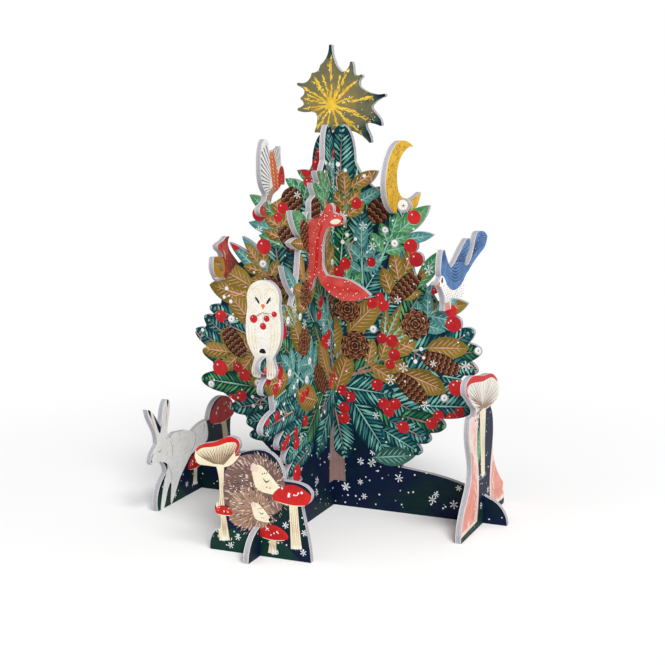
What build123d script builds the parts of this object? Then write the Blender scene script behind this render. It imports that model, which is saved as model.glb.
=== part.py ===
from build123d import *
import os

# A slot-together tree of thick printed board: two panels cross on the Z axis, and small pieces
# and feet are slotted over their edges.
# +X runs along the wide panel, the deep panel's front end points to -Y, and the table is Z = 0.

# Board and joint sizes in millimetres
BOARD = 2.3
SLOT_PLAY = 0.1
SLOT_WIDTH = BOARD + 2 * SLOT_PLAY
SLOT_REACH = 24.0

# Panel sizes in millimetres
TREE_HEIGHT = 155.5
WIDE_REACH = 75.0
DEEP_REACH = 80.5
BASE_RISE = 19.5

# Heights of the small pieces in millimetres, which size their whole outlines
STAR_HEIGHT = 40.0
MOON_HEIGHT = 27.5
FLYING_BIRD_HEIGHT = 31.0
PERCHED_BIRD_HEIGHT = 17.4
BLUE_BIRD_HEIGHT = 28.0
OWL_HEIGHT = 36.0
SQUIRREL_HEIGHT = 34.5
HARE_FOOT_HEIGHT = 45.0
MUSHROOM_FOOT_HEIGHT = 62.0
HEDGEHOG_FOOT_HEIGHT = 44.0

# Set-back of the star behind the wide panel, in millimetres
STAR_SETBACK = 4.0

# Height of the halving between the two panels, as a share of the tree's height
CROSSING_SHARE = 0.5

# Height of a foot's seat, as a share of the base's rise
FOOT_SEAT_SHARE = 0.32

# Place along the wide panel as a share of its reach, and seat as a share of the tree's height
MOON_SEAT_SHARES = (0.357, 0.797)
BLUE_BIRD_SEAT_SHARES = (0.66, 0.567)
FLYING_BIRD_SEAT_SHARES = (-0.40, 0.791)
PERCHED_BIRD_SEAT_SHARES = (-0.647, 0.601)
HARE_PLACE_SHARE = -0.827
MUSHROOM_PLACE_SHARE = 0.853

# Place along the deep panel as a share of its reach, and seat as a share of the tree's height
STAR_SEAT_SHARE = 0.971
SQUIRREL_SEAT_SHARES = (-0.31, 0.682)
OWL_SEAT_SHARES = (-0.783, 0.447)
HEDGEHOG_PLACE_SHARE = -0.863

# Back of the base from its outer end to the trunk: shares of the reach and of the base's rise
BASE_BACK_SHARES = [
    (1.0, 0.0), (0.99, 0.22), (0.86, 0.6), (0.60, 0.89), (0.35, 1.0),
]

# Foliage of half a panel, outwards from the trunk.
# Core: corners as shares of the reach and of the tree's height.
# Leaves and sprays: root, tip, then width as a share of the tree's height.
# Rounds, which are berries, beads and cones: centre, then radius as a share of the tree's height.
WIDE_RIGHT_SHARES = {
    "core": [
        (0, 0.05), (0, 0.98), (0.08, 0.97), (0.13, 0.91), (0.18, 0.865), (0.27, 0.832),
        (0.345, 0.81), (0.43, 0.785), (0.43, 0.70), (0.47, 0.63), (0.57, 0.58), (0.64, 0.53),
        (0.75, 0.485), (0.80, 0.43), (0.76, 0.385), (0.69, 0.345), (0.72, 0.29), (0.60, 0.265),
        (0.57, 0.22), (0.46, 0.18), (0.42, 0.135), (0.35, 0.05),
    ],
    "leaves": [
        ((0.10, 0.84), (0.26, 0.885), 0.035),
        ((0.14, 0.80), (0.295, 0.845), 0.032),
        ((0.35, 0.72), (0.548, 0.803), 0.044),
        ((0.37, 0.71), (0.573, 0.73), 0.030),
        ((0.48, 0.59), (0.607, 0.69), 0.038),
        ((0.53, 0.575), (0.653, 0.627), 0.030),
        ((0.53, 0.53), (0.765, 0.562), 0.048),
        ((0.24, 0.14), (0.487, 0.158), 0.050),
    ],
    "sprays": [
        ((0.045, 0.80), (0.06, 1.0), 0.077),
        ((0.58, 0.43), (0.80, 0.495), 0.050),
        ((0.58, 0.42), (0.84, 0.445), 0.055),
        ((0.60, 0.42), (0.823, 0.39), 0.045),
        ((0.50, 0.29), (0.82, 0.30), 0.065),
        ((0.40, 0.26), (0.65, 0.24), 0.055),
        ((0.33, 0.245), (0.57, 0.20), 0.050),
        ((0.29, 0.22), (0.52, 0.165), 0.045),
    ],
    "rounds": [
        ((0.27, 0.785), 0.032),
        ((0.407, 0.80), 0.018),
        ((0.467, 0.772), 0.018),
        ((0.45, 0.70), 0.018),
        ((0.48, 0.666), 0.019),
        ((0.69, 0.508), 0.021),
        ((0.71, 0.345), 0.021),
    ],
}
WIDE_LEFT_SHARES = {
    "core": [
        (0, 0.05), (0, 0.965), (0.08, 0.955), (0.105, 0.905), (0.15, 0.86), (0.26, 0.82),
        (0.38, 0.785), (0.41, 0.72), (0.44, 0.66), (0.57, 0.63), (0.65, 0.58), (0.67, 0.515),
        (0.755, 0.47), (0.785, 0.43), (0.75, 0.385), (0.71, 0.34), (0.73, 0.295), (0.57, 0.25),
        (0.50, 0.20), (0.45, 0.165), (0.37, 0.13), (0.35, 0.05),
    ],
    "leaves": [
        ((0.05, 0.845), (0.20, 0.882), 0.032),
        ((0.11, 0.81), (0.27, 0.86), 0.035),
        ((0.32, 0.76), (0.485, 0.815), 0.032),
        ((0.29, 0.715), (0.493, 0.743), 0.032),
        ((0.27, 0.68), (0.433, 0.71), 0.025),
        ((0.35, 0.605), (0.533, 0.704), 0.032),
        ((0.37, 0.59), (0.613, 0.687), 0.032),
        ((0.47, 0.54), (0.74, 0.57), 0.065),
    ],
    "sprays": [
        ((0.04, 0.80), (0.045, 0.978), 0.067),
        ((0.51, 0.475), (0.74, 0.51), 0.040),
        ((0.56, 0.40), (0.773, 0.485), 0.045),
        ((0.56, 0.375), (0.833, 0.445), 0.052),
        ((0.53, 0.35), (0.79, 0.39), 0.045),
        ((0.47, 0.30), (0.80, 0.31), 0.060),
        ((0.37, 0.26), (0.613, 0.235), 0.052),
        ((0.29, 0.22), (0.52, 0.20), 0.050),
        ((0.21, 0.19), (0.50, 0.165), 0.045),
    ],
    "rounds": [
        ((0.23, 0.807), 0.031),
        ((0.427, 0.765), 0.020),
        ((0.40, 0.68), 0.021),
        ((0.69, 0.597), 0.018),
        ((0.68, 0.344), 0.022),
    ],
}
DEEP_SHARES = {
    "core": [
        (0, 0.05), (0, 0.985), (0.09, 0.97), (0.13, 0.91), (0.19, 0.865), (0.26, 0.82),
        (0.34, 0.785), (0.38, 0.74), (0.42, 0.70), (0.44, 0.64), (0.50, 0.58), (0.58, 0.53),
        (0.68, 0.47), (0.73, 0.42), (0.72, 0.36), (0.69, 0.30), (0.58, 0.26), (0.52, 0.21),
        (0.48, 0.165), (0.40, 0.12), (0.35, 0.05),
    ],
    "leaves": [
        ((0.06, 0.84), (0.23, 0.887), 0.035),
        ((0.11, 0.805), (0.28, 0.86), 0.036),
        ((0.28, 0.72), (0.515, 0.80), 0.055),
        ((0.30, 0.71), (0.535, 0.725), 0.030),
        ((0.42, 0.58), (0.61, 0.675), 0.035),
        ((0.42, 0.53), (0.69, 0.575), 0.045),
    ],
    "sprays": [
        ((0.04, 0.82), (0.085, 1.0), 0.066),
        ((0.55, 0.44), (0.865, 0.455), 0.052),
        ((0.57, 0.41), (0.84, 0.395), 0.055),
        ((0.48, 0.31), (0.845, 0.30), 0.062),
        ((0.40, 0.27), (0.675, 0.24), 0.055),
        ((0.34, 0.23), (0.605, 0.195), 0.050),
        ((0.27, 0.20), (0.575, 0.155), 0.045),
    ],
    "rounds": [
        ((0.25, 0.79), 0.034),
        ((0.615, 0.515), 0.020),
        ((0.47, 0.145), 0.024),
    ],
}

# Outlines of the small pieces, as shares of their heights from the point where the board that
# carries them crosses: at the seat, or at the table for a foot.
# Each run is one smooth stretch that starts at a corner and ends at the next run's start.
# The star grows all round by a share of its height, which rounds the ends of its rays.
STAR_GROWTH_SHARE = 0.015
STAR_SHARES = [
    [(-0.054, 0.872), (-0.012, 0.700), (0.064, 0.606)],
    [(0.170, 0.706), (0.178, 0.660), (0.190, 0.592)],
    [(0.275, 0.581), (0.242, 0.486), (0.30, 0.432)],
    [(0.516, 0.396), (0.442, 0.362), (0.373, 0.277), (0.415, 0.217), (0.466, 0.157)],
    [(0.480, 0.114), (0.405, 0.137), (0.309, 0.132), (0.330, 0.055)],
    [(0.371, -0.052), (0.25, 0.037), (0.127, 0.062)],
    [(0.066, -0.060)],
    [(-0.056, -0.060), (-0.105, 0.016)],
    [(-0.210, 0.040), (-0.183, 0.13), (-0.20, 0.230), (-0.30, 0.243)],
    [(-0.397, 0.254), (-0.326, 0.308)],
    [(-0.364, 0.362), (-0.316, 0.428)],
    [(-0.401, 0.502), (-0.30, 0.514)],
    [(-0.244, 0.600), (-0.176, 0.625)],
    [(-0.151, 0.680), (-0.093, 0.74)],
]
MOON_SHARES = [
    [(0.614, 0.822), (0.325, 0.91), (-0.12, 0.874), (-0.431, 0.595), (-0.503, 0.295),
     (-0.265, -0.026), (0.169, -0.119), (0.635, -0.117), (0.842, -0.026)],
    [(0.973, 0.139), (0.687, 0.077), (0.262, 0.093), (-0.006, 0.243), (-0.043, 0.522),
     (0.20, 0.75)],
]
FLYING_BIRD_SHARES = [
    [(-0.03, 0.145), (-0.11, 0.226), (-0.168, 0.34), (-0.184, 0.50), (-0.135, 0.774),
     (-0.07, 0.84), (0.02, 0.826), (0.052, 0.742)],
    [(0.116, 0.67), (0.21, 0.69), (0.306, 0.697)],
    [(0.41, 0.74), (0.413, 0.613)],
    [(0.43, 0.50), (0.494, 0.458), (0.535, 0.37)],
    [(0.535, 0.22), (0.468, 0.252), (0.387, 0.194), (0.16, 0.097), (0.107, -0.016),
     (0.06, -0.145), (-0.12, -0.15), (-0.215, -0.106), (-0.235, -0.06), (-0.074, 0.032)],
]
PERCHED_BIRD_SHARES = [
    [(-0.52, -0.01), (-0.66, 0.086), (-0.72, 0.26)],
    [(-0.68, 0.477), (-0.46, 0.46)],
    [(-0.24, 0.437), (-0.32, 0.55), (-0.477, 0.644)],
    [(-0.517, 0.736), (-0.374, 0.78), (-0.195, 0.82), (-0.086, 0.874)],
    [(0.115, 0.874), (0.034, 0.747), (0.08, 0.61), (0.23, 0.46), (0.46, 0.287)],
    [(0.707, 0.11), (0.517, 0.08), (0.316, 0.052), (0.172, -0.01)],
    [(0.09, -0.126)],
    [(-0.126, -0.126), (-0.207, -0.052), (-0.345, -0.04)],
]
BLUE_BIRD_SHARES = [
    [(-0.726, 0.309), (-0.556, 0.345)],
    [(-0.484, 0.397), (-0.462, 0.69), (-0.41, 0.751), (-0.335, 0.705), (-0.212, 0.566)],
    [(-0.063, 0.469), (0.28, 0.614), (0.618, 0.777), (0.775, 0.782), (0.795, 0.72),
     (0.693, 0.592)],
    [(0.545, 0.443), (0.693, 0.417), (0.875, 0.515), (1.001, 0.69), (1.114, 0.823),
     (1.279, 0.844), (1.48, 0.818)],
    [(1.646, 0.731), (1.591, 0.645), (1.316, 0.528), (0.693, 0.309)],
    [(0.563, 0.247), (0.525, 0.12)],
    [(0.515, -0.02), (0.30, -0.035)],
    [(0.14, -0.03), (0.128, -0.07)],
    [(0.125, -0.115)],
    [(-0.307, -0.107), (-0.31, 0.03), (-0.356, 0.12), (-0.448, 0.213)],
    [(-0.53, 0.268)],
]
SQUIRREL_SHARES = [
    [(0.77, -0.40), (0.62, -0.295), (0.40, -0.222), (0.22, -0.18), (0.203, -0.087),
     (0.22, 0.232)],
    [(0.272, 0.336), (0.348, 0.345), (0.452, 0.394), (0.446, 0.452), (0.37, 0.48)],
    [(0.328, 0.50), (0.325, 0.565)],
    [(0.29, 0.597), (0.232, 0.54), (0.19, 0.464), (0.116, 0.423), (0.0, 0.42), (-0.12, 0.465),
     (-0.15, 0.43), (-0.135, 0.35), (-0.11, 0.26), (-0.12, -0.116), (-0.10, -0.28),
     (-0.046, -0.394), (0.04, -0.40), (0.08, -0.32)],
    [(0.14, -0.197), (0.186, -0.304), (0.29, -0.406), (0.435, -0.472), (0.58, -0.475),
     (0.696, -0.446)],
]
HARE_FOOT_SHARES = [
    [(-0.845, 0.0), (-0.852, 0.12), (-0.767, 0.262)],
    [(-0.68, 0.318), (-0.695, 0.378)],
    [(-0.747, 0.43), (-0.844, 0.45), (-0.947, 0.473), (-0.942, 0.516), (-0.90, 0.57)],
    [(-0.83, 0.622), (-0.90, 0.80), (-0.967, 0.90)],
    [(-0.99, 0.97), (-0.91, 0.93), (-0.835, 0.845)],
    [(-0.773, 0.77), (-0.718, 0.91), (-0.667, 0.984), (-0.613, 0.987), (-0.598, 0.922),
     (-0.65, 0.70)],
    [(-0.635, 0.635)],
    [(-0.59, 0.61), (-0.533, 0.65), (-0.422, 0.644), (-0.29, 0.627)],
    [(-0.178, 0.578), (-0.09, 0.61), (0.044, 0.633)],
    [(0.147, 0.63), (0.24, 0.768), (0.367, 0.807), (0.51, 0.79), (0.622, 0.724), (0.675, 0.63)],
    [(0.667, 0.578)],
    [(0.60, 0.55), (0.587, 0.40), (0.655, 0.178), (0.72, 0.055)],
    [(0.725, 0.0)],
]
MUSHROOM_FOOT_SHARES = [
    [(-0.468, 0.0), (-0.465, 0.07), (-0.394, 0.20), (-0.277, 0.355), (-0.268, 0.42),
     (-0.335, 0.613), (-0.339, 0.70), (-0.313, 0.758), (-0.268, 0.75)],
    [(-0.226, 0.739), (-0.203, 0.765), (-0.258, 0.816), (-0.339, 0.874), (-0.406, 0.92),
     (-0.42, 0.968), (-0.37, 1.0), (-0.242, 1.003), (-0.06, 0.969), (0.13, 0.945),
     (0.218, 0.903), (0.287, 0.835), (0.295, 0.787), (0.25, 0.756), (0.16, 0.745)],
    [(0.106, 0.735), (0.15, 0.675), (0.17, 0.589), (0.175, 0.44), (0.25, 0.306), (0.339, 0.22)],
    [(0.44, 0.148)],
    [(0.424, 0.103), (0.458, 0.058)],
    [(0.461, 0.0)],
]
HEDGEHOG_FOOT_SHARES = [
    [(-0.445, 0.0), (-0.44, 0.077), (-0.41, 0.145)],
    [(-0.35, 0.19), (-0.34, 0.25)],
    [(-0.345, 0.31), (-0.39, 0.332), (-0.395, 0.38)],
    [(-0.355, 0.427), (-0.35, 0.523), (-0.355, 0.636)],
    [(-0.377, 0.727), (-0.47, 0.723), (-0.555, 0.74), (-0.58, 0.805), (-0.555, 0.873),
     (-0.375, 0.945), (-0.284, 0.99), (-0.205, 0.995), (-0.155, 0.955), (-0.173, 0.886)],
    [(-0.195, 0.85), (-0.05, 0.90), (0.09, 0.907), (0.173, 0.86), (0.227, 0.773)],
    [(0.25, 0.673), (0.34, 0.67), (0.432, 0.65), (0.495, 0.59), (0.486, 0.532)],
    [(0.405, 0.477), (0.423, 0.386), (0.455, 0.25), (0.482, 0.09)],
    [(0.489, 0.0)],
]
# Right half of the owl from its crown to its foot: body, ankle, then foot
OWL_BODY_SHARES = [
    (0.0, 0.885), (0.09, 0.865), (0.155, 0.80), (0.18, 0.71), (0.175, 0.625), (0.19, 0.50),
    (0.195, 0.375), (0.178, 0.25), (0.136, 0.153),
]
OWL_LEG_SHARES = [(0.10, 0.095), (0.12, 0.03), (0.128, -0.08), (0.11, -0.105)]
OWL_HEEL_SHARES = [(0.04, -0.115)]


def leaf(root, tip, width):
    """A pointed leaf: two arcs that meet at its root and its tip."""
    run = Vector(*tip) - Vector(*root)
    middle = Vector(*root) + run * 0.5
    side = run.normalized().rotate(Axis.Z, 90) * (width / 2)
    return make_face([
        ThreePointArc(root, middle + side, tip),
        ThreePointArc(tip, middle - side, root),
    ])


def spray(root, tip, width):
    """A rounded spray of needles: an ellipse from its root to its tip."""
    run = Vector(*tip) - Vector(*root)
    middle = Vector(*root) + run * 0.5
    turn = Axis.X.direction.get_signed_angle(run, Axis.Z.direction)
    return Pos(middle.X, middle.Y) * Rot(Z=turn) * Ellipse(run.length / 2, width / 2)


def half_tree(side, reach, shares):
    """The face of half a panel, to the right of the trunk for side 1 and to the left for -1.

    The die cuts round the foliage only, so gaps that the leaves close off are left as board.
    """
    def place(share):
        return (side * reach * share[0], TREE_HEIGHT * share[1])

    face = make_face(Polyline(*[place(corner) for corner in shares["core"]], close=True))
    for root, tip, width in shares["leaves"]:
        face += leaf(place(root), place(tip), TREE_HEIGHT * width)
    for root, tip, width in shares["sprays"]:
        face += spray(place(root), place(tip), TREE_HEIGHT * width)
    for centre, radius in shares["rounds"]:
        face += Pos(*place(centre)) * Circle(TREE_HEIGHT * radius)
    back = [(side * reach * along, BASE_RISE * up) for along, up in BASE_BACK_SHARES]
    base = make_face([
        Line((0, 0), back[0]),
        *smooth(back),
        Line(back[-1], (0, BASE_RISE)),
        Line((0, BASE_RISE), (0, 0)),
    ])
    return (face + base).face().without_holes()


def smooth(points):
    """A chain of arcs along the smooth curve through the points, one for each step between them."""
    if len(points) == 2:
        return [Line(*points)]
    curve = Spline(*points)
    halves = 2 * (len(points) - 1)
    stops = [curve @ (number / halves) for number in range(halves + 1)]
    return [ThreePointArc(*stops[number:number + 3]) for number in range(0, halves, 2)]


def outline(runs, size):
    """A face closed from runs of shares, each run one smooth stretch to the next run's start."""
    edges = []
    for number, run in enumerate(runs):
        shares = run + runs[(number + 1) % len(runs)][:1]
        edges += smooth([(size * across, size * up) for across, up in shares])
    return make_face(edges)


def slot_up(place, seat, top):
    """A slot that is cut down into a board from above, with its floor at the seat."""
    return Pos(place, (seat + top) / 2) * Rectangle(SLOT_WIDTH, top - seat)


def slot_down(place, seat, bottom):
    """A slot that is cut up into a board from below, with its roof at the seat."""
    return Pos(place, (seat + bottom) / 2) * Rectangle(SLOT_WIDTH, seat - bottom)


def board_across(face, setback):
    """A board parallel to the wide panel, with its middle at the given Y."""
    return Pos(0, setback + BOARD / 2, 0) * extrude(Plane.XZ * face, BOARD)


def board_along(face, place):
    """A board parallel to the deep panel, with its middle at the given X."""
    return Pos(place - BOARD / 2, 0, 0) * extrude(Plane.YZ * face, BOARD)


def seat_of(shares, reach):
    """Place along a panel and height of a seat, in millimetres."""
    return reach * shares[0], TREE_HEIGHT * shares[1]


def tree_panel(right, left, seats, feet, crossing):
    """A panel face with a slot for each small piece and foot, and the halving of the panels."""
    face = right + left - crossing
    for place, seat in seats:
        face -= slot_up(place, seat, seat + SLOT_REACH)
    for place in feet:
        face -= slot_up(place, FOOT_SEAT_SHARE * BASE_RISE, BASE_RISE)
    return face


def wide_panel():
    """The panel that faces the viewer, open at the top for the deep panel."""
    seats = [
        seat_of(shares, WIDE_REACH)
        for shares in (MOON_SEAT_SHARES, BLUE_BIRD_SEAT_SHARES, FLYING_BIRD_SEAT_SHARES,
                       PERCHED_BIRD_SEAT_SHARES)
    ]
    feet = [HARE_PLACE_SHARE * WIDE_REACH, MUSHROOM_PLACE_SHARE * WIDE_REACH]
    crossing = slot_up(0, CROSSING_SHARE * TREE_HEIGHT, TREE_HEIGHT + SLOT_REACH)
    right = half_tree(1, WIDE_REACH, WIDE_RIGHT_SHARES)
    left = half_tree(-1, WIDE_REACH, WIDE_LEFT_SHARES)
    return board_across(tree_panel(right, left, seats, feet, crossing), 0)


def deep_panel():
    """The panel that runs away from the viewer, open at the bottom for the wide panel."""
    seats = [seat_of(shares, DEEP_REACH) for shares in (SQUIRREL_SEAT_SHARES, OWL_SEAT_SHARES)]
    seats.append((STAR_SETBACK, STAR_SEAT_SHARE * TREE_HEIGHT))
    feet = [HEDGEHOG_PLACE_SHARE * DEEP_REACH]
    crossing = slot_down(0, CROSSING_SHARE * TREE_HEIGHT, -SLOT_REACH)
    front = half_tree(-1, DEEP_REACH, DEEP_SHARES)
    back = half_tree(1, DEEP_REACH, DEEP_SHARES)
    return board_along(tree_panel(back, front, seats, feet, crossing), 0)


def ornament(face, seat):
    """The face of a small piece, lifted to its seat and slotted from below."""
    return Pos(0, seat) * (face - slot_down(0, 0, -SLOT_REACH))


def foot(face):
    """The face of a foot that stands on the table, slotted from below over a panel's base."""
    seat = FOOT_SEAT_SHARE * BASE_RISE
    return face - slot_down(0, seat, -seat)


def owl_face():
    """An owl: the right half of its outline and the same half mirrored."""
    def mirrored(shares):
        return [(-across, up) for across, up in reversed(shares)]

    ankle = OWL_LEG_SHARES[:1]
    runs = [
        mirrored(OWL_HEEL_SHARES),
        mirrored(OWL_LEG_SHARES)[:-1],
        mirrored(OWL_BODY_SHARES + ankle)[:-1] + OWL_BODY_SHARES,
        OWL_LEG_SHARES,
        OWL_HEEL_SHARES,
    ]
    return outline(runs, OWL_HEIGHT)


def wide_panel_pieces():
    """The small pieces and feet that stand across the wide panel."""
    pieces = {}
    for name, shares, size, seat_shares in (
        ("moon", MOON_SHARES, MOON_HEIGHT, MOON_SEAT_SHARES),
        ("flying_bird", FLYING_BIRD_SHARES, FLYING_BIRD_HEIGHT, FLYING_BIRD_SEAT_SHARES),
        ("perched_bird", PERCHED_BIRD_SHARES, PERCHED_BIRD_HEIGHT, PERCHED_BIRD_SEAT_SHARES),
        ("blue_bird", BLUE_BIRD_SHARES, BLUE_BIRD_HEIGHT, BLUE_BIRD_SEAT_SHARES),
    ):
        place, seat = seat_of(seat_shares, WIDE_REACH)
        pieces[name] = board_along(ornament(outline(shares, size), seat), place)
    for name, shares, size, place_share in (
        ("hare_foot", HARE_FOOT_SHARES, HARE_FOOT_HEIGHT, HARE_PLACE_SHARE),
        ("mushroom_foot", MUSHROOM_FOOT_SHARES, MUSHROOM_FOOT_HEIGHT, MUSHROOM_PLACE_SHARE),
    ):
        pieces[name] = board_along(foot(outline(shares, size)), place_share * WIDE_REACH)
    return pieces


def deep_panel_pieces():
    """The small pieces and the foot that stand across the deep panel."""
    star_seat = STAR_SEAT_SHARE * TREE_HEIGHT
    owl_place, owl_seat = seat_of(OWL_SEAT_SHARES, DEEP_REACH)
    squirrel_place, squirrel_seat = seat_of(SQUIRREL_SEAT_SHARES, DEEP_REACH)
    star = offset(outline(STAR_SHARES, STAR_HEIGHT), STAR_GROWTH_SHARE * STAR_HEIGHT)
    squirrel = outline(SQUIRREL_SHARES, SQUIRREL_HEIGHT)
    hedgehogs = outline(HEDGEHOG_FOOT_SHARES, HEDGEHOG_FOOT_HEIGHT)
    return {
        "star": board_across(ornament(star, star_seat), STAR_SETBACK),
        "owl": board_across(ornament(owl_face(), owl_seat), owl_place),
        "squirrel": board_across(ornament(squirrel, squirrel_seat), squirrel_place),
        "hedgehog_foot": board_across(foot(hedgehogs), HEDGEHOG_PLACE_SHARE * DEEP_REACH),
    }


def build():
    """Every board of the tree, by name."""
    pieces = {"tree_panel_wide": wide_panel(), "tree_panel_deep": deep_panel()}
    pieces.update(wide_panel_pieces())
    pieces.update(deep_panel_pieces())
    return pieces


os.makedirs("parts", exist_ok=True)
for name, piece in build().items():
    export_step(piece, f"parts/{name}.step")
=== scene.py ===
import math
import random

import bpy
import numpy as np
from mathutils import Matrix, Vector
from mathutils.geometry import delaunay_2d_cdt


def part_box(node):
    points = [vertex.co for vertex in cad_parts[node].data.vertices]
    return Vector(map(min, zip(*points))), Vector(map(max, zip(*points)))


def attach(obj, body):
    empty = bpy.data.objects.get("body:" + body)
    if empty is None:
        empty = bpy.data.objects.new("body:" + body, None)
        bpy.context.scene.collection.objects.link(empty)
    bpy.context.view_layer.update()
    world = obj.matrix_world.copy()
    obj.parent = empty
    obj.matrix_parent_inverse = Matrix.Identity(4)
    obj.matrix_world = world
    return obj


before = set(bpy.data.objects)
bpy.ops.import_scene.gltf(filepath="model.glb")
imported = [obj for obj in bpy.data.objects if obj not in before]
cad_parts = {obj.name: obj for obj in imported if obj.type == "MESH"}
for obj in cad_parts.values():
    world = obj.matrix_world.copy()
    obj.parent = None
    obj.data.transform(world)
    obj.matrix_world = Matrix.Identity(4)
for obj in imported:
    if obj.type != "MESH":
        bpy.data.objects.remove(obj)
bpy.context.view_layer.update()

# Sizes in millimetres, as in the CAD source
MM = 0.001
BOARD = 2.3
TREE_HEIGHT = 155.5
WIDE_REACH = 75.0
DEEP_REACH = 80.5
PRINT_LIFT = 0.025
STAR_FRONT = 4.0 - BOARD / 2
STAR_MIDDLE = (-1.6, 163.0)
STAR_REACH = 25.0

# The specular level of all the print
GLOSS = 0.12

# Cutting the print: how far a face may be off its level and how close points are one, in mm, how
# many corners a motif needs to be tried as a cover, when one counts as large, and the points that
# the winding test takes at a time, to spare memory
LEVEL_PLAY = 0.01
WELD = 1e-4
COVER_CORNERS = 10
LARGE_CORNERS = 40
BLOCK = 4096

# What the OFBake layout leaves free at each side
UV_MARGIN = 0.01

# Where each small piece's seat is on its own face, and the piece's height: the prints below are
# drawn in shares of that height from the seat, as the outlines are
SEATS = {
    "star": ((0, 151.0), 40.0),
    "moon": ((0, 123.9), 27.5),
    "flying_bird": ((0, 123.0), 31.0),
    "perched_bird": ((0, 93.5), 17.4),
    "blue_bird": ((0, 88.2), 28.0),
    "owl": ((0, 69.5), 36.0),
    "squirrel": ((0, 106.05), 34.5),
    "hare_foot": ((0, 0), 45.0),
    "hedgehog_foot": ((0, 0), 44.0),
    "mushroom_foot": ((0, 0), 62.0),
}

# Motifs that fill the lobes of the cut edge, in thousandths of the reach and of the tree's height:
# root, tip, width and kind of leaves, the same without kind for sprays, and centre, radius, kind of rounds
RIGHT_EDGE = {
    "leaves": [
        (100, 840, 260, 885, 35, "leaf_gold"), (140, 800, 295, 845, 32, "leaf_teal"),
        (350, 720, 548, 803, 44, "leaf_green"), (370, 710, 573, 730, 30, "leaf_teal"),
        (480, 590, 607, 690, 38, "leaf_green"), (530, 575, 653, 627, 30, "leaf_teal"),
        (530, 530, 765, 562, 48, "leaf_gold"), (240, 140, 487, 158, 50, "leaf_dark"),
    ],
    "sprays": [
        (45, 800, 60, 1000, 77), (580, 430, 800, 495, 50), (580, 420, 840, 445, 55),
        (600, 420, 823, 390, 45), (500, 290, 820, 300, 65), (400, 260, 650, 240, 55),
        (330, 245, 570, 200, 50), (290, 220, 520, 165, 45),
    ],
    "rounds": [
        (270, 785, 32, "cone"), (407, 800, 18, "bead"), (467, 772, 18, "berry"), (450, 700, 18, "berry"),
        (480, 666, 19, "berry"), (690, 508, 21, "berry"), (710, 345, 21, "berry"),
    ],
}
LEFT_EDGE = {
    "leaves": [
        (50, 845, 200, 882, 32, "leaf_gold"), (110, 810, 270, 860, 35, "leaf_green"),
        (320, 760, 485, 815, 32, "leaf_green"), (290, 715, 493, 743, 32, "leaf_teal"),
        (270, 680, 433, 710, 25, "leaf_green"), (350, 605, 533, 704, 32, "leaf_teal"),
        (370, 590, 613, 687, 32, "leaf_teal"), (470, 540, 740, 570, 65, "leaf_gold"),
    ],
    "sprays": [
        (40, 800, 45, 978, 67), (510, 475, 740, 510, 40), (560, 400, 773, 485, 45),
        (560, 375, 833, 445, 52), (530, 350, 790, 390, 45), (470, 300, 800, 310, 60),
        (370, 260, 613, 235, 52), (290, 220, 520, 200, 50), (210, 190, 500, 165, 45),
    ],
    "rounds": [
        (230, 807, 31, "cone"), (427, 765, 20, "berry"), (400, 680, 21, "berry"), (690, 597, 18, "bead"),
        (680, 344, 22, "berry"),
    ],
}
DEEP_EDGE = {
    "leaves": [
        (60, 840, 230, 887, 35, "leaf_gold"), (110, 805, 280, 860, 36, "leaf_green"),
        (280, 720, 515, 800, 55, "leaf_green"), (300, 710, 535, 725, 30, "leaf_gold"),
        (420, 580, 610, 675, 35, "leaf_teal"), (420, 530, 690, 575, 45, "leaf_teal"),
    ],
    "sprays": [
        (40, 820, 85, 1000, 66), (550, 440, 865, 455, 52), (570, 410, 840, 395, 55),
        (480, 310, 845, 300, 62), (400, 270, 675, 240, 55), (340, 230, 605, 195, 50),
        (270, 200, 575, 155, 45),
    ],
    "rounds": [
        (250, 790, 34, "cone"), (615, 515, 20, "berry"), (470, 145, 24, "berry"),
    ],
}


def linear(*rgb):
    """A colour given as sRGB 0 to 255."""
    out = []
    for value in rgb:
        c = value / 255
        out.append(c / 12.92 if c <= 0.04045 else ((c + 0.055) / 1.055) ** 2.4)
    return (*out, 1.0)


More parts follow.
